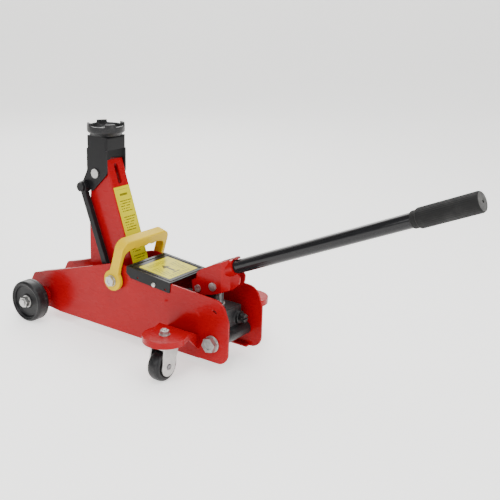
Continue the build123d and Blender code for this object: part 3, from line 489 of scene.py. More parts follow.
def label_film(name, marks):
    """Glossy printed film. marks returns the share of dark ink from the label's own u and v in metres."""
    paint = Paint(name)
    colour = bpy.context.scene.jack_finish.film
    spot = paint.split(paint.attribute("print", "Vector"))
    ink = marks(paint, spot["X"], spot["Y"])
    cloud = paint.noise(50, 3).ramp(0.3, 0.8)
    colour_map = paint.blend(cloud, tint(colour, 0.93), colour)
    colour_map = paint.blend(ink, colour_map, (0.020, 0.017, 0.006))
    ripple = paint.noise(70, 2, 0.4)
    rough = 0.24 + paint.noise(300, 3) * 0.10
    normal = paint.bump(ripple, 0.00012)
    return paint.finish(
        Base_Color=colour_map, Roughness=rough, Normal=normal, Specular_IOR_Level=0.12,
    )


def arm_label_marks(paint, u, v):
    """A fine border, a heading bar and three blocks of fine print."""
    half_width = 0.0165
    border = band(u.distance_to(0.0), half_width - 0.0016, half_width - 0.0012)
    heading = band(v, 0.0115, 0.0150) * band(u.distance_to(0.0), -1.0, 0.0085)
    rule = band(v, 0.0045, 0.0050) * band(u.distance_to(0.0), -1.0, 0.0125)
    ink = border * 0.35 + heading * 0.75 + rule * 0.6
    for first, last in ((0.0215, 0.0425), (0.0480, 0.0740), (0.0795, 0.1080), (0.1120, 0.1220)):
        ink = ink + printed_rows(paint, u, v, first, last, 0.0042, -0.0125, 0.0135) * 0.85
    return ink


def cover_label_marks(paint, u, v):
    """A bold lifting arrow between blocks of fine print."""
    stem = band(u.distance_to(-0.002), -1.0, 0.0024) * band(v, 0.030, 0.046)
    head = band(v, 0.019, 0.030) * (u.distance_to(-0.002) < (v - 0.019) * 0.75)
    foot = band(u.distance_to(-0.002), -1.0, 0.0085) * band(v, 0.048, 0.0505)
    ink = (stem + head + foot) * 0.9
    ink = ink + printed_rows(paint, u, v, 0.006, 0.016, 0.0034, -0.026, 0.026) * 0.75
    ink = ink + printed_rows(paint, u, v, 0.021, 0.050, 0.0044, 0.012, 0.030) * 0.70
    ink = ink + printed_rows(paint, u, v, 0.021, 0.050, 0.0044, -0.030, -0.012) * 0.70
    return ink + printed_rows(paint, u, v, 0.053, 0.060, 0.0034, -0.026, 0.026) * 0.75


def arm_film():
    return label_film("arm label film", arm_label_marks)


def cover_film():
    return label_film("cover label film", cover_label_marks)


FINISHES = {}


def finish_of(maker):
    """Each finish is made once and shared by every piece that has it."""
    if maker.__name__ not in FINISHES:
        FINISHES[maker.__name__] = maker()
    return FINISHES[maker.__name__]


# ---------------------------------------------------------------- shaping
def centre(node):
    low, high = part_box(node)
    return (low + high) / 2


def place_on(axis, origin):
    """A matrix whose Z runs along axis, from origin."""
    turn = axis.normalized().to_track_quat("Z", "Y").to_matrix().to_4x4()
    return Matrix.Translation(origin) @ turn


def piece_from(bm, name, body, maker, stands_for=(), sharp=38):
    """Turns a shape into a named piece that rides on a body and shows instead of CAD nodes."""
    bmesh.ops.remove_doubles(bm, verts=bm.verts, dist=0.002 * MM)
    bmesh.ops.recalc_face_normals(bm, faces=bm.faces)
    mesh = bpy.data.meshes.new(name)
    bm.to_mesh(mesh)
    bm.free()
    mesh.polygons.foreach_set("use_smooth", [True] * len(mesh.polygons))
    mesh.set_sharp_from_angle(angle=math.radians(sharp))
    piece = bpy.data.objects.new(name, mesh)
    bpy.context.scene.collection.objects.link(piece)
    mesh.materials.append(finish_of(maker))
    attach(piece, body)
    if stands_for:
        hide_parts(*stands_for)
    return piece


def apply_modifiers(piece):
    """Bakes a piece's modifiers into its mesh."""
    graph = bpy.context.evaluated_depsgraph_get()
    seen = piece.evaluated_get(graph)
    mesh = bpy.data.meshes.new_from_object(seen, preserve_all_data_layers=True, depsgraph=graph)
    piece.modifiers.clear()
    piece.data = mesh


def rounded(profile, radius, steps=3):
    """Rounds each corner of a closed outline of (radius, height) points."""
    result = []
    count = len(profile)
    for index in range(count):
        here = Vector(profile[index])
        before = Vector(profile[index - 1]) - here
        after = Vector(profile[(index + 1) % count]) - here
        reach = min(radius, before.length * 0.45, after.length * 0.45)
        if here.x < 1e-7 or reach < 1e-7:
            result.append(tuple(here))
            continue
        start = here + before.normalized() * reach
        end = here + after.normalized() * reach
        for step in range(steps + 1):
            t = step / steps
            result.append(tuple(start * (1 - t) ** 2 + here * 2 * t * (1 - t) + end * t * t))
    return result


def turned(profile, axis, origin, segments=None, ripple=None):
    """A closed outline of (radius, height) turned about an axis. ripple(angle, r, h) changes each point."""
    segments = segments or bpy.context.scene.jack_sizes.round_steps
    matrix = place_on(axis, origin)
    bm = bmesh.new()
    rings = []
    for r, h in profile:
        if r < 1e-7:
            rings.append([bm.verts.new(matrix @ Vector((0, 0, h)))] * segments)
            continue
        ring = []
        for step in range(segments):
            angle = 2 * math.pi * step / segments
            radius, height = ripple(angle, r, h) if ripple else (r, h)
            place = Vector((radius * math.cos(angle), radius * math.sin(angle), height))
            ring.append(bm.verts.new(matrix @ place))
        rings.append(ring)
    for index, ring in enumerate(rings):
        following = rings[(index + 1) % len(rings)]
        for step in range(segments):
            ahead = (step + 1) % segments
            corners = [ring[step], ring[ahead], following[ahead], following[step]]
            corners = list(dict.fromkeys(corners))
            if len(corners) > 2:
                bm.faces.new(corners)
    return bm


def joined(*shapes):
    """One shape that holds several closed ones."""
    whole = bmesh.new()
    for shape in shapes:
        scratch = bpy.data.meshes.new("scratch")
        shape.to_mesh(scratch)
        shape.free()
        whole.from_mesh(scratch)
        bpy.data.meshes.remove(scratch)
    return whole


def hexagon_radius(angle, flats):
    """How far the side of a hexagon is from its middle at an angle."""
    sector = math.pi / 3
    return flats / 2 / math.cos((angle + sector / 2) % sector - sector / 2)


def hex_block(axis, origin, flats, height, hole=0.0, both_ends=False, dish=0.0, turn=0.0):
    """A nut or bolt head with the usual 30 degree chamfer on its corners."""
    inscribed = flats / 2
    slope = math.tan(math.radians(30))
    profile = [(hole, 0.0), (inscribed * 0.97, 0.0), (inscribed * 1.2, 0.0)]
    profile += [(inscribed * 1.2, height), (inscribed * 0.97, height)]
    if dish:
        profile += [(inscribed * 0.72, height), (inscribed * 0.66, height - dish), (0.0, height - dish)]
    else:
        profile += [(hole, height)]

    def shape(angle, r, h):
        if r > inscribed * 1.1:
            corner = hexagon_radius(angle + turn, flats) - 0.15 * MM
            drop = max(0.0, corner - inscribed * 0.97) * slope
            if h > height / 2:
                return corner, h - drop
            return corner, h + (drop if both_ends else 0.0)
        return r, h

    return turned(profile, axis, origin, 96, shape)


def threaded(axis, origin, radius, length, pitch=1.25 * MM):
    """The end of a screw: crests and roots of its thread, and a chamfered tip."""
    profile = [(0.0, 0.0)]
    depth = 0.54 * pitch
    height = 0.0
    while height < length - pitch:
        profile.append((radius, height))
        profile.append((radius, height + pitch * 0.15))
        profile.append((radius - depth, height + pitch * 0.5))
        profile.append((radius - depth, height + pitch * 0.65))
        height += pitch
    profile += [(radius - depth * 0.6, height), (radius - depth * 1.3, length), (0.0, length)]
    return turned(profile, axis, origin, 64)


def ring(axis, origin, inner, outer, thickness, edge=0.25 * MM):
    outline = [(inner, 0.0), (outer, 0.0), (outer, thickness), (inner, thickness)]
    return turned(rounded(outline, edge), axis, origin)


def dome(axis, origin, radius, height, edge_height):
    """A rivet or button head: a short rim under a shallow dome."""
    steps = 10
    profile = [(0.0, 0.0), (radius, 0.0), (radius, edge_height)]
    for step in range(1, steps + 1):
        angle = math.pi / 2 * step / steps
        reach = radius * math.cos(angle) if step < steps else 0.0
        profile.append((reach, edge_height + (height - edge_height) * math.sin(angle)))
    return turned(profile, axis, origin)


def swept(points, radius, sides):
    """A tube along points; radius may be a number or a function of the share of the way along."""
    size = radius if callable(radius) else (lambda share: radius)
    bm = bmesh.new()
    rings = []
    count = len(points)
    direction = (points[1] - points[0]).normalized()
    normal = direction.orthogonal().normalized()
    for index, point in enumerate(points):
        ahead = points[min(index + 1, count - 1)]
        behind = points[max(index - 1, 0)]
        new_direction = (ahead - behind).normalized()
        turn = direction.rotation_difference(new_direction)
        normal = (turn @ normal).normalized()
        direction = new_direction
        side = direction.cross(normal)
        reach = size(index / (count - 1))
        ring_points = []
        for step in range(sides):
            angle = 2 * math.pi * step / sides
            offset = normal * math.cos(angle) + side * math.sin(angle)
            ring_points.append(bm.verts.new(point + offset * reach))
        rings.append(ring_points)
    for first, second in zip(rings, rings[1:]):
        for step in range(sides):
            ahead = (step + 1) % sides
            bm.faces.new((first[step], first[ahead], second[ahead], second[step]))
    bm.faces.new(rings[0][::-1])
    bm.faces.new(rings[-1])
    return bm


def weld_bead(points, name, body, maker=red_enamel, width=None):
    """A hand-laid weld: overlapping ripples along a line, drawn with a slightly unsteady width."""
    width = width or bpy.context.scene.jack_sizes.weld_width
    path = []
    gap = 0.35 * MM
    for start, end in zip(points, points[1:]):
        steps = max(2, int((end - start).length / gap))
        path += [start.lerp(end, step / steps) for step in range(steps)]
    path.append(points[-1])
    total = len(path)

    def size(share):
        along = share * total * gap
        ripple = abs(math.sin(along / (1.9 * MM) * math.pi))
        fade = min(1.0, share * 14 + 0.25, (1 - share) * 14 + 0.25)
        return width / 2 * fade * (0.80 + 0.20 * ripple + 0.07 * math.sin(along / (11 * MM)))

    return piece_from(swept(path, size, 12), name, body, maker, sharp=60)


def softened(node, maker, width=None, steps=2):
    """The CAD node's own shape with every sharp edge rounded, and those edges marked for wear."""
    width = width or bpy.context.scene.jack_sizes.sheet_edge
    source = frame["nodes"][node]
    bm = bmesh.new()
    bm.from_mesh(source.data)
    bmesh.ops.remove_doubles(bm, verts=bm.verts, dist=0.005 * MM)
    bmesh.ops.dissolve_limit(bm, angle_limit=math.radians(1.2), verts=bm.verts, edges=bm.edges)
    sharp = math.radians(30)
    edges = [e for e in bm.edges if len(e.link_faces) == 2 and e.calc_face_angle(0.0) > sharp]
    result = bmesh.ops.bevel(
        bm, geom=edges, offset=width, offset_type="OFFSET", segments=steps, profile=0.6, affect="EDGES",
        clamp_overlap=True,
    )
    edge_layer = bm.loops.layers.float.new("edge")
    for face in result["faces"]:
        for loop in face.loops:
            loop[edge_layer] = 1.0
    bmesh.ops.triangulate(bm, faces=[f for f in bm.faces if len(f.verts) > 4])
    mesh = bpy.data.meshes.new(node + "_finished")
    bm.to_mesh(mesh)
    bm.free()
    mesh.polygons.foreach_set("use_smooth", [True] * len(mesh.polygons))
    mesh.set_sharp_from_angle(angle=math.radians(40))
    piece = bpy.data.objects.new(mesh.name, mesh)
    bpy.context.scene.collection.objects.link(piece)
    weighted = piece.modifiers.new("even shading", "WEIGHTED_NORMAL")
    weighted.keep_sharp = True
    apply_modifiers(piece)
    piece.data.materials.clear()
    piece.data.materials.append(finish_of(maker))
    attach(piece, BODY_OF[node])
    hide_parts(node)
    return piece


def moulded(node, maker, grid, smoothing):
    """The CAD node's shape as a casting or moulding: rebuilt on a fine grid and smoothed all over."""
    mesh = frame["nodes"][node].data.copy()
    piece = bpy.data.objects.new(node + "_finished", mesh)
    bpy.context.scene.collection.objects.link(piece)
    welded = piece.modifiers.new("weld", "WELD")
    welded.merge_threshold = 0.005 * MM
    remesh = piece.modifiers.new("grid", "REMESH")
    remesh.mode = "VOXEL"
    remesh.voxel_size = grid
    remesh.use_smooth_shade = True
    smooth = piece.modifiers.new("smooth", "SMOOTH")
    smooth.factor = 0.5
    smooth.iterations = smoothing
    apply_modifiers(piece)
    piece.data.materials.clear()
    piece.data.materials.append(finish_of(maker))
    piece.data.polygons.foreach_set("use_smooth", [True] * len(piece.data.polygons))
    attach(piece, BODY_OF[node])
    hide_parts(node)
    return piece


def painted(node, maker):
    """A CAD node that keeps its own shape takes its finish."""
    mesh = frame["nodes"][node].data
    mesh.materials.clear()
    mesh.materials.append(finish_of(maker))


def printed_sheet(name, node, maker, origin, down, width, length, corner):
    """A label: a thin sheet with round corners that carries its own print coordinates."""
    steps = 6
    thickness = 0.25 * MM
    outline = []
    for sign_u, sign_v, start in ((1, 1, 0), (-1, 1, 90), (-1, -1, 180), (1, -1, 270)):
        middle_u = sign_u * (width / 2 - corner)
        middle_v = length / 2 + sign_v * (length / 2 - corner)
        for step in range(steps + 1):
            angle = math.radians(start + 90 * step / steps)
            outline.append((middle_u + corner * math.cos(angle), middle_v + corner * math.sin(angle)))
    up = down.cross(ALONG_Y).normalized()
    if up.z < 0:
        up = -up
    bm = bmesh.new()
    layer = bm.verts.layers.float_vector.new("print")
    rows = []
    for lift in (0.0, thickness):
        row = []
        for u, v in outline:
            vert = bm.verts.new(origin + ALONG_Y * u + down * v + up * lift)
            vert[layer] = (u, v, 0.0)
            row.append(vert)
        rows.append(row)
    count = len(outline)
    for index in range(count):
        ahead = (index + 1) % count
        bm.faces.new((rows[0][index], rows[0][ahead], rows[1][ahead], rows[1][index]))
    bm.faces.new(rows[0][::-1])
    bm.faces.new(rows[1])
    return piece_from(bm, name, BODY_OF[node], maker, (node,), 30)


# ---------------------------------------------------------------- frame
def side_plates():
    for side in SIDES:
        softened(f"side_plate_{side}", red_enamel)


def cross_members():
    softened("floor_pan", red_enamel)
    softened("mid_tie", red_enamel)
    axles = softened("front_axles", red_enamel, 0.4 * MM)
    axles.data.materials.append(finish_of(zinc_plate))
    bare_from = abs(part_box("front_wheel_left")[0].y) - 6 * MM
    for polygon in axles.data.polygons:
        if any(abs(axles.data.vertices[corner].co.y) > bare_from for corner in polygon.vertices):
            polygon.material_index = 1
    painted("shaft_spacers", black_enamel)
    painted("pivot_shaft", ground_steel)
    softened("link_anchors", black_enamel, 0.4 * MM)


def circle_points(middle, axis, radius, start=0.0, end=360.0, steps=48):
    matrix = place_on(axis, middle)
    result = []
    for step in range(steps + 1):
        angle = math.radians(start + (end - start) * step / steps)
        result.append(matrix @ Vector((radius * math.cos(angle), radius * math.sin(angle), 0)))
    return result


def frame_welds():
    """Beads round the axle flanges, along the caster wings and across the floor pan."""
    axle_middle = centre("front_axles")
    nose_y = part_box("side_plate_left")[0].y + 5.6 * MM
    flange_radius = 14.2 * MM
    for side, sign in SIDES.items():
        middle = Vector((axle_middle.x, -sign * nose_y, axle_middle.z))
        weld_bead(circle_points(middle, ALONG_Y * sign, flange_radius), f"axle_weld_{side}", "root")
        low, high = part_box(f"caster_wing_{side}")
        face_y = sign * (abs(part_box("side_plate_left")[0].y) - 0.3 * MM)
        rear = high.x - 17.9 * MM
        points = [Vector((rear, face_y, 34 * MM)), Vector((rear, face_y, 52 * MM))]
        points.append(Vector((low.x + 4 * MM, face_y, 53.5 * MM)))
        weld_bead(points, f"wing_weld_{side}", "root")
    low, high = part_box("floor_pan")
    for side, sign in SIDES.items():
        start = Vector((low.x + 4 * MM, sign * (high.y - 0.6 * MM), low.z + 3.2 * MM))
        end = Vector((high.x - 4 * MM, start.y, start.z))
        weld_bead([start, end], f"pan_weld_{side}", "root")


# ---------------------------------------------------------------- front wheels
def front_wheels():
    for side, sign in SIDES.items():
        node = f"front_wheel_{side}"
        low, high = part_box(node)
        radius = (high.z - low.z) / 2
        width = high.y - low.y
        middle = centre(node)
        bore = 6.3 * MM
        hub = width - 5 * MM
        profile = [
            (bore, 0.2 * MM), (11 * MM, 0.2 * MM), (11.6 * MM, 5 * MM), (radius - 7.5 * MM, 5.2 * MM),
            (radius - 6.5 * MM, 0.2 * MM), (radius - 2 * MM, 0.0), (radius - 0.02 * MM, 2.4 * MM),
            (radius, width * 0.32), (radius - 0.35 * MM, width * 0.34), (radius - 0.35 * MM, width * 0.36),
            (radius, width * 0.38), (radius, width * 0.80), (radius - 0.4 * MM, width - 2.2 * MM),
            (radius - 2.6 * MM, width), (radius - 5.2 * MM, width), (radius - 5.9 * MM, width - 1.8 * MM),
            (radius - 7.6 * MM, width - 2.0 * MM), (radius - 8.6 * MM, width - 5.6 * MM),
            (radius - 13 * MM, hub - 1.6 * MM), (12.4 * MM, hub - 1.4 * MM), (11.6 * MM, hub - 0.1 * MM),
            (bore, hub - 0.1 * MM),
        ]
        origin = Vector((middle.x, sign * abs(low.y if sign > 0 else high.y), middle.z))
        bm = turned(rounded(profile, 0.9 * MM), ALONG_Y * sign, origin)
        mark_tread(bm, origin, radius)
        piece_from(bm, f"{node}_tyre", node, wheel_plastic, (node,))


def mark_tread(bm, middle, radius, axis="y"):
    """Marks the points that roll on the floor."""
    layer = bm.verts.layers.float.new("tread")
    for vert in bm.verts:
        across = vert.co.x - middle.x if axis == "y" else vert.co.y - middle.y
        reach = math.hypot(across, vert.co.z - middle.z)
        vert[layer] = 1.0 if reach > radius - 1.2 * MM else 0.0


def axle_ends():
    """Washer, nut and threaded end on each front axle."""
    for side, sign in SIDES.items():
        axis = ALONG_Y * sign
        middle = centre("axle_nuts")
        washer_out = abs(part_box("axle_washers")[0].y)
        nut_out = abs(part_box("axle_nuts")[0].y)
        washer_foot = Vector((middle.x, sign * (washer_out - 1.5 * MM), middle.z))
        washer = ring(axis, washer_foot, 6.1 * MM, 10.4 * MM, 1.4 * MM)
        piece_from(washer, f"axle_washer_{side}", "root", zinc_plate, ("axle_washers",))
        origin = Vector((middle.x, sign * washer_out, middle.z))
        nut = hex_block(axis, origin, 16.6 * MM, nut_out - washer_out - 0.2 * MM, 6.0 * MM, True, turn=0.3)
        piece_from(nut, f"axle_nut_{side}", "root", zinc_plate, ("axle_nuts",))
        tip = abs(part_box("front_axles")[0].y)
        start = Vector((middle.x, sign * (washer_out + 1 * MM), middle.z))
        stud = threaded(axis, start, 6.0 * MM - 0.05 * MM, tip - washer_out - 1.05 * MM)
        piece_from(stud, f"axle_thread_{side}", "root", zinc_plate)


# ---------------------------------------------------------------- bolts, rivets and pins
def bolt_head(name, node, side, flats, collar, tall, dish, turn):
    """A hexagon head on a washer face, with its dished top and a raised grade ring."""
    sign = SIDES[side]
    middle = centre(node)
    axis = ALONG_Y * sign
    top = abs(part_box(node)[0].y)
    head = Vector((middle.x, sign * (top - tall), middle.z))
    shapes = [hex_block(axis, head, flats, tall - 0.05 * MM, 0.0, False, dish, turn)]
    if collar:
        base = Vector((middle.x, sign * (top - tall - 1.1 * MM), middle.z))
        shapes.append(ring(axis, base, 2 * MM, collar, 1.3 * MM))
    inner = Vector((middle.x, sign * (top - dish - 0.3 * MM), middle.z))
    shapes.append(ring(axis, inner, flats * 0.20, flats * 0.25, 0.55 * MM, 0.1 * MM))
    return piece_from(joined(*shapes), name, BODY_OF[node], zinc_plate, ())


def frame_bolts():
    for side, sign in SIDES.items():
        bolt_head(f"rear_bolt_head_{side}", "rear_bolts", side, 20.4 * MM, 0.0, 9.0 * MM, 1.1 * MM, 0.2)
        middle = centre("rear_washers")
        washer_out = abs(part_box("rear_washers")[0].y)
        origin = Vector((middle.x, sign * (washer_out - 1.7 * MM), middle.z))
        washer = ring(ALONG_Y * sign, origin, 7.1 * MM, 13.0 * MM, 1.65 * MM)
        piece_from(washer, f"rear_washer_{side}", "root", zinc_plate, ("rear_washers",))
        name = f"carry_bolt_head_{side}"
        bolt_head(name, "carry_handle_bolts", side, 14.6 * MM, 8.9 * MM, 4.9 * MM, 0.9 * MM, 0.5)
    painted("rear_bolts", zinc_plate)
    painted("carry_handle_bolts", zinc_plate)


def cover_screws():
    """Domed screw heads, on each side of the cover."""
    outer = abs(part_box("cover_screws")[0].y)
    middle = centre("cover_screws")
    for side, sign in SIDES.items():
        origin = Vector((middle.x, sign * (outer - 2.1 * MM), middle.z))
        head = dome(ALONG_Y * sign, origin, 3.9 * MM, 2.05 * MM, 0.6 * MM)
        piece_from(head, f"cover_screw_{side}", "root", zinc_plate, ("cover_screws",))


def rivet_heads():
    """Peened heads on the yoke pin and on the socket's two pins."""
    for node, radius, tall in (("yoke_pin", 7.4, 2.2), ("socket_pivot_pin", 5.5, 2.3), ("drive_pin", 6.4, 2.3)):
        maker = dull_zinc if node == "socket_pivot_pin" else zinc_plate
        painted(node, maker)
        top = abs(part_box(node)[0].y)
        middle = centre(node)
        for side, sign in SIDES.items():
            origin = Vector((middle.x, sign * (top - 2.2 * MM), middle.z))
            head = dome(ALONG_Y * sign, origin, (radius + 0.12) * MM, tall * MM - 0.12 * MM, 1.2 * MM)
            piece_from(head, f"{node}_head_{side}", BODY_OF[node], maker)


def dull_zinc():
    """Plating that has picked up red overspray and oil."""
    paint = Paint("dull zinc")
    cloud = paint.noise(330, 4, 0.65)
    colour_map = paint.blend(cloud.ramp(0.35, 0.65), (0.22, 0.05, 0.05), (0.38, 0.27, 0.26))
    normal = paint.bump(cloud, 0.00005)
    return paint.finish(Base_Color=colour_map, Roughness=0.38 + cloud * 0.2, Metallic=0.55, Normal=normal)


# ---------------------------------------------------------------- cover and labels
def cover():
    softened("cover_plate", black_enamel, 0.35 * MM)
    low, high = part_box("cover_label")
    film = 0.3 * MM
    slope = (high.z - film - low.z) / (high.x - low.x)
    down = Vector((1, 0, -slope)).normalized()
    width = (high.y - low.y) - 0.2 * MM
    length = (high.x - low.x) / down.x - 0.2 * MM
    start = Vector((low.x + 0.1 * MM, 0, high.z - film))
    printed_sheet("cover_print", "cover_label", cover_film, start, down, width, length, 1.5 * MM)


# ---------------------------------------------------------------- arm, yoke, saddle and links
def arm():
    softened("lift_arm", red_enamel, 0.9 * MM, steps=3)
    painted("ram_pin", ground_steel)
    low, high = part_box("arm_label")
    run = Vector((high.x - low.x, 0, low.z - high.z))
    down = run.normalized()
    width = high.y - low.y - 0.2 * MM
    length = run.length - 0.4 * MM
    start = Vector((low.x, 0, high.z)) + down * 0.2 * MM
    printed_sheet("arm_print", "arm_label", arm_film, start, down, width, length, 1.0 * MM)


def yoke():
    softened("saddle_yoke", black_enamel, 0.8 * MM, steps=3)
    top = abs(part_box("link_bolts")[0].y)
    middle = centre("link_bolts")
    painted("link_bolts", black_enamel)
    for side, sign in SIDES.items():
        foot = Vector((middle.x, sign * (top - 3.1 * MM), middle.z))
        head = hex_block(ALONG_Y * sign, foot, 13.2 * MM, 3.05 * MM, turn=0.25)
        piece_from(head, f"link_bolt_head_{side}", "saddle_yoke", black_enamel)


def saddle():
    moulded("saddle", cast_black, 0.62 * MM, 3)
    painted("saddle_clip", ground_steel)


def links():
    for side in SIDES:
        softened(f"link_rod_{side}", black_enamel, 0.7 * MM, steps=3)


# ---------------------------------------------------------------- hydraulics
def hydraulics():
    moulded("pump_block", cast_black, 0.95 * MM, 3)
    softened("ram", ground_steel, 0.5 * MM)
    softened("reservoir_tube", black_enamel, 0.4 * MM)
    softened("tank_nut", black_enamel, 0.6 * MM)
    softened("release_valve", cast_black, 0.3 * MM)
    softened("pump_barrel", zinc_plate, 0.4 * MM)
    softened("pump_piston", zinc_plate, 0.5 * MM)
    softened("pump_roller", ground_steel, 0.4 * MM)
    painted("cylinder_tube", black_enamel)
    painted("piston_seal", seal_rubber)
    softened("filler_plug", seal_rubber, 0.5 * MM)
    softened("spring_hooks", zinc_plate, 0.25 * MM)


def block_welds():
    """The beads that join the cross tube to the pump block."""
    bolt = centre("rear_bolts")
    radius = 10.5 * MM
    half_length = 29 * MM
    for turn in (118, 196):
        angle = math.radians(turn)
        x = bolt.x + radius * math.cos(angle)
        z = bolt.z + radius * math.sin(angle)
        start = Vector((x, -half_length, z))
        end = Vector((x, half_length, z))
        weld_bead([start, end], f"block_weld_{turn}", "root", cast_black, 4.2 * MM)


def helix(start, end, radius, turns, steps=20):
    """Points of a coil about the line from start to end, with closed end coils."""
    matrix = place_on(end - start, start)
    length = (end - start).length
    points = []
    total = int(turns * steps)
    for index in range(total + 1):
        share = index / total
        pitch_share = (share - 0.045 * math.sin(2 * math.pi * share)) if turns > 12 else share
        angle = 2 * math.pi * turns * share
        points.append(matrix @ Vector((radius * math.cos(angle), radius * math.sin(angle), length * pitch_share)))
    return points


def return_springs():
    """Long tension springs with a hooked end on the ram's bar and on the block's eye."""
    low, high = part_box("return_springs")
    for side, sign in SIDES.items():
        y = sign * (high.y - (high.z - low.z) / 2)
        z = (low.z + high.z) / 2
        outer = (high.z - low.z) / 2
        wire = 0.8 * MM
        start = Vector((low.x + 5 * MM, y, z))
        end = Vector((high.x - 3 * MM, y, z))
        coil = helix(start, end, outer - wire, 46)
        hook = circle_points(Vector((low.x + 1.2 * MM, y, z)), ALONG_Y, outer - wire, 200, -20, 14)
        points = [p for p in hook if p.x < start.x] + coil
        bm = swept(points, wire, 8)
        name = f"return_spring_{side}"
        piece = piece_from(bm, name, "root", spring_wire, ("return_springs",), 60)
        blend_between(piece)


def blend_between(piece):
    """Takes a spring off its body and bakes its placing into its mesh."""
    piece.parent = None
    del piece["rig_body"]
    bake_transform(piece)


def pump_spring():
    low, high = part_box("pump_spring")
    middle = centre("pump_spring")
    wire = 0.78 * MM
    radius = (high.x - low.x) / 2 - wire
    start = Vector((middle.x, middle.y, low.z + wire))
    end = Vector((middle.x, middle.y, high.z - wire))
    bm = swept(helix(start, end, radius, 8, 28), wire, 10)
    piece = piece_from(bm, "pump_return_spring", "root", spring_wire, ("pump_spring",), 60)
    blend_between(piece)


# ---------------------------------------------------------------- handle socket and handle
def socket():
    """The pressed socket, with the end of a roll pin on top of its ring."""
    softened("handle_socket", red_enamel, 0.6 * MM, steps=3)
    axis = handle_axis()
    up = Vector((-axis.z, 0, axis.x))
    tube_middle = centre("handle_tube")
    along = (centre("stop_screw") - tube_middle).dot(axis) - 17 * MM
    base = tube_middle + axis * along + up * 13.2 * MM
    pin = dome(up, base, 1.7 * MM, 1.3 * MM, 0.8 * MM)
    piece_from(pin, "socket_roll_pin", BODY_OF["handle_socket"], black_enamel)


def handle_axis():
    joint = JOINTS["handle_pull"]
    return Vector(joint["axis"]).normalized()


def pump_handle():
    """The tube with its rolled ends, the fluted grip with its collar, and the stop screw."""
    axis = handle_axis()
    tube_middle = centre("handle_tube")
    low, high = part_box("handle_tube")
    outer = (high.y - low.y) / 2
    half = ((high.x - low.x) - 2 * outer * axis.z) / 2 / axis.x
    start = tube_middle - axis * half
    inner = outer - 1.5 * MM
    outline = [(inner, 0.0), (outer, 0.0), (outer, 2 * half), (inner, 2 * half)]
    tube = turned(rounded(outline, 0.5 * MM), axis, start, 96)
    piece_from(tube, "pump_tube", "pump_handle", tube_enamel, ("handle_tube",))
    grip(axis, tube_middle, outer)
    painted("tube_plug", wheel_plastic)
    low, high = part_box("stop_screw")
    up = Vector((-axis.z, 0, axis.x))
    painted("stop_screw", red_cap)
    middle = centre("stop_screw")
    along = (middle - tube_middle).dot(axis)
    base = tube_middle + axis * along + up * (outer + 0.75 * MM)
    cap = dome(up, base, 5.2 * MM, 4.2 * MM, 1.7 * MM)
    piece_from(cap, "stop_screw_cap", "pump_handle", red_cap, ("stop_screw",))


def grip(axis, tube_middle, tube_outer):
    """A tapered, lightly fluted grip with a collar, and a paler end with a vent."""
    low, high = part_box("handle_grip")
    outer = (high.y - low.y) / 2
    half = ((high.x - low.x) - 2 * outer * axis.z) / 2 / axis.x
    middle = centre("handle_grip")
    end = tube_middle + axis * ((middle - tube_middle).dot(axis) + half + 0.8 * MM)
    length = 2 * half + 0.4 * MM
    start = end - axis * length
    bore = tube_outer + 0.02 * MM
    collar = 12.1 * MM
    profile = [
        (bore, 0.0), (collar - 0.3 * MM, 0.0), (collar, 1.2 * MM), (collar, 7.2 * MM),
        (collar + 0.1 * MM, 8.1 * MM),
        (outer - 1.0 * MM, 8.6 * MM), (outer - 0.2 * MM, 10 * MM), (outer - 0.2 * MM, 16 * MM),
        (outer - 0.2 * MM, length * 0.5), (outer - 0.1 * MM, length - 9 * MM), (outer - 0.1 * MM, length - 3 * MM),
        (outer - 1.3 * MM, length - 0.5 * MM), (outer - 3.2 * MM, length), (1.9 * MM, length),
        (1.9 * MM, length - 4 * MM), (bore, length - 6 * MM),
    ]

    def flutes(angle, r, h):
        inside = min(1.0, max(0.0, (h - 11 * MM) / (4 * MM)), max(0.0, (length - 6 * MM - h) / (4 * MM)))
        if r < outer - 0.8 * MM or inside <= 0:
            return r, h
        return r - 0.28 * MM * inside * (0.5 + 0.5 * math.cos(angle * 32)), h

    bm = turned(rounded(profile, 0.5 * MM), axis, start, 192, flutes)
    piece = piece_from(bm, "pump_grip", "pump_handle", grip_plastic, ("handle_grip",))
    piece.data.materials.append(finish_of(cap_plastic))
    for polygon in piece.data.polygons:
        if abs(polygon.normal.dot(axis)) > 0.9 and (polygon.center - start).dot(axis) > length - 1 * MM:
            polygon.material_index = 1


# ---------------------------------------------------------------- carry handle
def carry_handle():
    moulded("carry_handle", yellow_plastic, 0.9 * MM, 9)


# ---------------------------------------------------------------- casters
def caster_wings():
    for side in SIDES:
        softened(f"caster_wing_{side}", red_enamel, 0.9 * MM, steps=3)


def stud_ends():
    """Washer, nut and thread on top of each caster wing."""
    low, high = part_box("stud_nuts")
    for side, sign in SIDES.items():
        middle = Vector(((low.x + high.x) / 2, sign * (high.y - 8.5 * MM), 0))
        wing_top = high.z - 9 * MM
        base = Vector((middle.x, middle.y, wing_top))
        washer = ring(ALONG_Z, base, 4.2 * MM, 8.4 * MM, 1.2 * MM)
        nut = hex_block(ALONG_Z, base + ALONG_Z * 1.2 * MM, 12.8 * MM, 6.2 * MM, 4 * MM, False, turn=0.4 * sign)
        stud = threaded(ALONG_Z, base - ALONG_Z * 12 * MM, 3.95 * MM, 20.9 * MM, 1.0 * MM)
        shape = joined(washer, nut, stud)
        piece_from(shape, f"stud_nut_{side}", "root", zinc_plate, ("stud_nuts",))


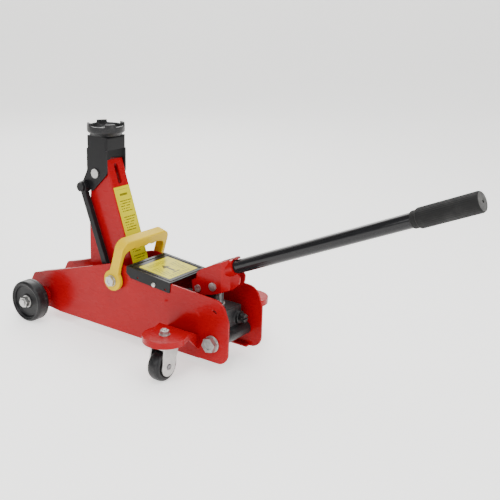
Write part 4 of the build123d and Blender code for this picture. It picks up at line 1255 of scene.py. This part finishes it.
def caster_forks():
    softened("swivel_cups", zinc_plate, 0.3 * MM)
    for side in SIDES:
        softened(f"caster_fork_{side}", zinc_plate, 0.5 * MM)
        node = f"caster_axle_{side}"
        low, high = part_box(node)
        middle = centre(node)
        half = (high.x - low.x) / 2
        shapes = []
        for sign in (-1, 1):
            origin = Vector((middle.x + sign * (half - 1.5 * MM), middle.y, middle.z))
            profile = [(0.0, 0.0), (4.6, 0.0), (4.6, 0.7), (3.9, 1.35), (2.4, 1.45), (1.9, 0.75), (0.0, 0.7)]
            scaled = [(r * MM, h * MM) for r, h in profile]
            shapes.append(turned(rounded(scaled, 0.3 * MM), ALONG_X * sign, origin, 48))
        origin = Vector((middle.x - half + 1.0 * MM, middle.y, middle.z))
        shapes.append(turned([(0, 0), (3.85 * MM, 0), (3.85 * MM, 2 * half - 2 * MM), (0, 2 * half - 2 * MM)],
                             ALONG_X, origin, 48))
        piece_from(joined(*shapes), f"caster_rivet_{side}", BODY_OF[node], spring_wire, (node,))


def caster_wheels():
    for side in SIDES:
        node = f"caster_wheel_{side}"
        low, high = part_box(node)
        middle = centre(node)
        radius = (high.z - low.z) / 2
        width = high.x - low.x
        half = [
            (radius, 0.50), (radius - 0.15 * MM, 0.72), (radius - 1.4 * MM, 0.90), (radius - 4.2 * MM, 0.995),
            (radius - 7.4 * MM, 0.998), (radius - 8.2 * MM, 0.90), (8.2 * MM, 0.88), (7.4 * MM, 0.995),
            (4.0 * MM, 0.998),
        ]
        profile = [(4.0 * MM, 0.002 * width)]
        profile += [(r, (1 - h) * width) for r, h in reversed(half[:-1])]
        profile += [(r, h * width) for r, h in half[1:]]
        origin = Vector((low.x, middle.y, middle.z))
        bm = turned(rounded(profile, 0.7 * MM), ALONG_X, origin, 80)
        mark_tread(bm, middle, radius, "x")
        piece_from(bm, f"{node}_tyre", node, wheel_plastic, (node,))


# ---------------------------------------------------------------- stage
def floor_surface():
    """A seamless pale floor that turns up into the backdrop."""
    paint = Paint("studio floor")
    colour = bpy.context.scene.jack_stage.floor
    cloud = paint.noise(2.5, 3, 0.5)
    colour_map = paint.blend(cloud, tint(colour, 0.985), colour)
    return paint.finish(
        Base_Color=colour_map, Roughness=0.55 + cloud * 0.1, Specular_IOR_Level=0.2,
        Emission_Color=colour_map, Emission_Strength=1.3,
    )


def studio_floor():
    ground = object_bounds()[0][2]
    depth = 3.2
    bend = 0.9
    half_width = 6.0
    profile = [(-depth, 0.0), (depth - bend, 0.0)]
    for step in range(1, 17):
        angle = math.pi / 2 * step / 16
        profile.append((depth - bend + bend * math.sin(angle), bend - bend * math.cos(angle)))
    profile.append((depth, 4.5))
    yaw = Matrix.Rotation(math.radians(36), 4, "Z")
    bm = bmesh.new()
    rows = []
    for away, rise in profile:
        left = bm.verts.new(yaw @ Vector((-half_width, away, ground + rise)))
        right = bm.verts.new(yaw @ Vector((half_width, away, ground + rise)))
        rows.append((left, right))
    for (a, b), (c, d) in zip(rows, rows[1:]):
        bm.faces.new((a, b, d, c))
    mesh = bpy.data.meshes.new("studio_floor")
    bm.to_mesh(mesh)
    bm.free()
    mesh.polygons.foreach_set("use_smooth", [True] * len(mesh.polygons))
    floor = bpy.data.objects.new("studio_floor", mesh)
    bpy.context.scene.collection.objects.link(floor)
    mesh.materials.append(finish_of(floor_surface))
    floor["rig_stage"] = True


def softbox(name, place, aim, width, height, power, colour=(1, 1, 1)):
    light = bpy.data.lights.new(name, "AREA")
    light.shape = "RECTANGLE"
    light.size = width
    light.size_y = height
    light.energy = power
    light.color = colour
    lamp = bpy.data.objects.new(name, light)
    lamp.location = place
    lamp.rotation_euler = (Vector(aim) - Vector(place)).to_track_quat("-Z", "Y").to_euler()
    bpy.context.scene.collection.objects.link(lamp)


def lights():
    power = bpy.context.scene.jack_stage.key_power
    softbox("top softbox", (0.1, 0.1, 1.7), (0, 0, 0), 1.9, 1.5, power)
    softbox("front softbox", (-0.2, -1.9, 1.1), (0, 0, 0.15), 1.6, 1.1, power * 0.62)
    softbox("side softbox", (1.9, -0.3, 0.8), (0.1, 0, 0.15), 0.9, 1.2, power * 0.5)
    softbox("rim softbox", (-1.5, 1.2, 1.2), (0, 0, 0.2), 1.0, 1.0, power * 0.4)
    softbox("strip softbox", (0.5, -1.0, 1.5), (0.05, 0, 0.1), 0.12, 1.1, power * 0.22)
    world = bpy.data.worlds.new("studio")
    bpy.context.scene.world = world
    world.use_nodes = True
    background = world.node_tree.nodes["Background"]
    background.inputs["Color"].default_value = (1.0, 1.0, 1.0, 1.0)
    background.inputs["Strength"].default_value = 0.22


def camera():
    """Three-quarter view from the rear left corner, a little above the pump handle."""
    azimuth = math.radians(36.08)
    elevation = math.radians(16.55)
    roll = math.radians(1.35)
    forward = Vector((
        -math.sin(azimuth) * math.cos(elevation), math.cos(azimuth) * math.cos(elevation), -math.sin(elevation)
    ))
    right = Vector((math.cos(azimuth), math.sin(azimuth), 0))
    up = right.cross(forward)
    tilted_right = right * math.cos(roll) + up * math.sin(roll)
    tilted_up = up * math.cos(roll) - right * math.sin(roll)
    matrix = Matrix((tilted_right, tilted_up, -forward)).transposed().to_4x4()
    matrix.translation = Vector((0.7546, -1.0340, 0.5825))
    data = bpy.data.cameras.new("camera")
    data.lens = bpy.context.scene.jack_stage.focal
    data.sensor_width = 36
    data.shift_x = 0.0474
    data.shift_y = -0.0290
    data.clip_end = 30
    viewer = bpy.data.objects.new("camera", data)
    viewer.matrix_world = matrix
    bpy.context.scene.collection.objects.link(viewer)
    bpy.context.scene.camera = viewer


# ---------------------------------------------------------------- operators
class JackOperator:
    """What every operator here does: run its builders in order."""

    bl_options = {"REGISTER", "UNDO"}
    builders = ()

    def execute(self, context):
        for build in self.builders:
            build()
        return {"FINISHED"}


class JACK_OT_frame(JackOperator, bpy.types.Operator):
    """Side plates, cross members and their welds"""

    bl_idname = "jack.frame"
    bl_label = "Frame"
    builders = (side_plates, cross_members, frame_welds)


class JACK_OT_front_wheels(JackOperator, bpy.types.Operator):
    """Front wheels with their washers, nuts and threads"""

    bl_idname = "jack.front_wheels"
    bl_label = "Front wheels"
    builders = (front_wheels, axle_ends)


class JACK_OT_fasteners(JackOperator, bpy.types.Operator):
    """Bolts, screws and riveted pins"""

    bl_idname = "jack.fasteners"
    bl_label = "Fasteners"
    builders = (frame_bolts, cover_screws, rivet_heads)


class JACK_OT_cover(JackOperator, bpy.types.Operator):
    """The cover and its printed label"""

    bl_idname = "jack.cover"
    bl_label = "Cover"
    builders = (cover,)


class JACK_OT_lifting_gear(JackOperator, bpy.types.Operator):
    """Lift arm, yoke, saddle and link rods"""

    bl_idname = "jack.lifting_gear"
    bl_label = "Lifting gear"
    builders = (arm, yoke, saddle, links)


class JACK_OT_hydraulics(JackOperator, bpy.types.Operator):
    """Pump block, ram, tank, pump and springs"""

    bl_idname = "jack.hydraulics"
    bl_label = "Hydraulics"
    builders = (hydraulics, block_welds, return_springs, pump_spring)


class JACK_OT_pump_handle(JackOperator, bpy.types.Operator):
    """The handle socket, the tube and its grip"""

    bl_idname = "jack.pump_handle"
    bl_label = "Pump handle"
    builders = (socket, pump_handle)


class JACK_OT_carry_handle(JackOperator, bpy.types.Operator):
    """The moulded carry handle"""

    bl_idname = "jack.carry_handle"
    bl_label = "Carry handle"
    builders = (carry_handle,)


class JACK_OT_casters(JackOperator, bpy.types.Operator):
    """Caster wings, forks and wheels"""

    bl_idname = "jack.casters"
    bl_label = "Casters"
    builders = (caster_wings, stud_ends, caster_forks, caster_wheels)


class JACK_OT_stage(JackOperator, bpy.types.Operator):
    """Floor, lights and camera"""

    bl_idname = "jack.stage"
    bl_label = "Stage"
    builders = (camera, studio_floor, lights)


OPERATORS = (
    JACK_OT_stage, JACK_OT_frame, JACK_OT_front_wheels, JACK_OT_fasteners, JACK_OT_cover, JACK_OT_lifting_gear,
    JACK_OT_hydraulics, JACK_OT_pump_handle, JACK_OT_carry_handle, JACK_OT_casters,
)


class JACK_PT_panel(bpy.types.Panel):
    """Lists the operators and the settings that they use"""

    bl_idname = "JACK_PT_panel"
    bl_label = "Trolley Jack"
    bl_space_type = "VIEW_3D"
    bl_region_type = "UI"
    bl_category = "Trolley Jack"

    def draw(self, context):
        for settings in (context.scene.jack_finish, context.scene.jack_sizes, context.scene.jack_stage):
            box = self.layout.box()
            for name in settings.__annotations__:
                box.prop(settings, name)
        for operator in OPERATORS:
            self.layout.operator(operator.bl_idname)


CLASSES = (JackFinish, JackSizes, JackStage, *OPERATORS, JACK_PT_panel)


def register():
    for cls in CLASSES:
        bpy.utils.register_class(cls)
    bpy.types.Scene.jack_finish = PointerProperty(type=JackFinish)
    bpy.types.Scene.jack_sizes = PointerProperty(type=JackSizes)
    bpy.types.Scene.jack_stage = PointerProperty(type=JackStage)


def unregister():
    del bpy.types.Scene.jack_stage
    del bpy.types.Scene.jack_sizes
    del bpy.types.Scene.jack_finish
    for cls in reversed(CLASSES):
        bpy.utils.unregister_class(cls)


def main():
    register()
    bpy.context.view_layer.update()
    for operator in OPERATORS:
        group, name = operator.bl_idname.split(".")
        getattr(getattr(bpy.ops, group), name)()


if __name__ == "__main__":
    main()
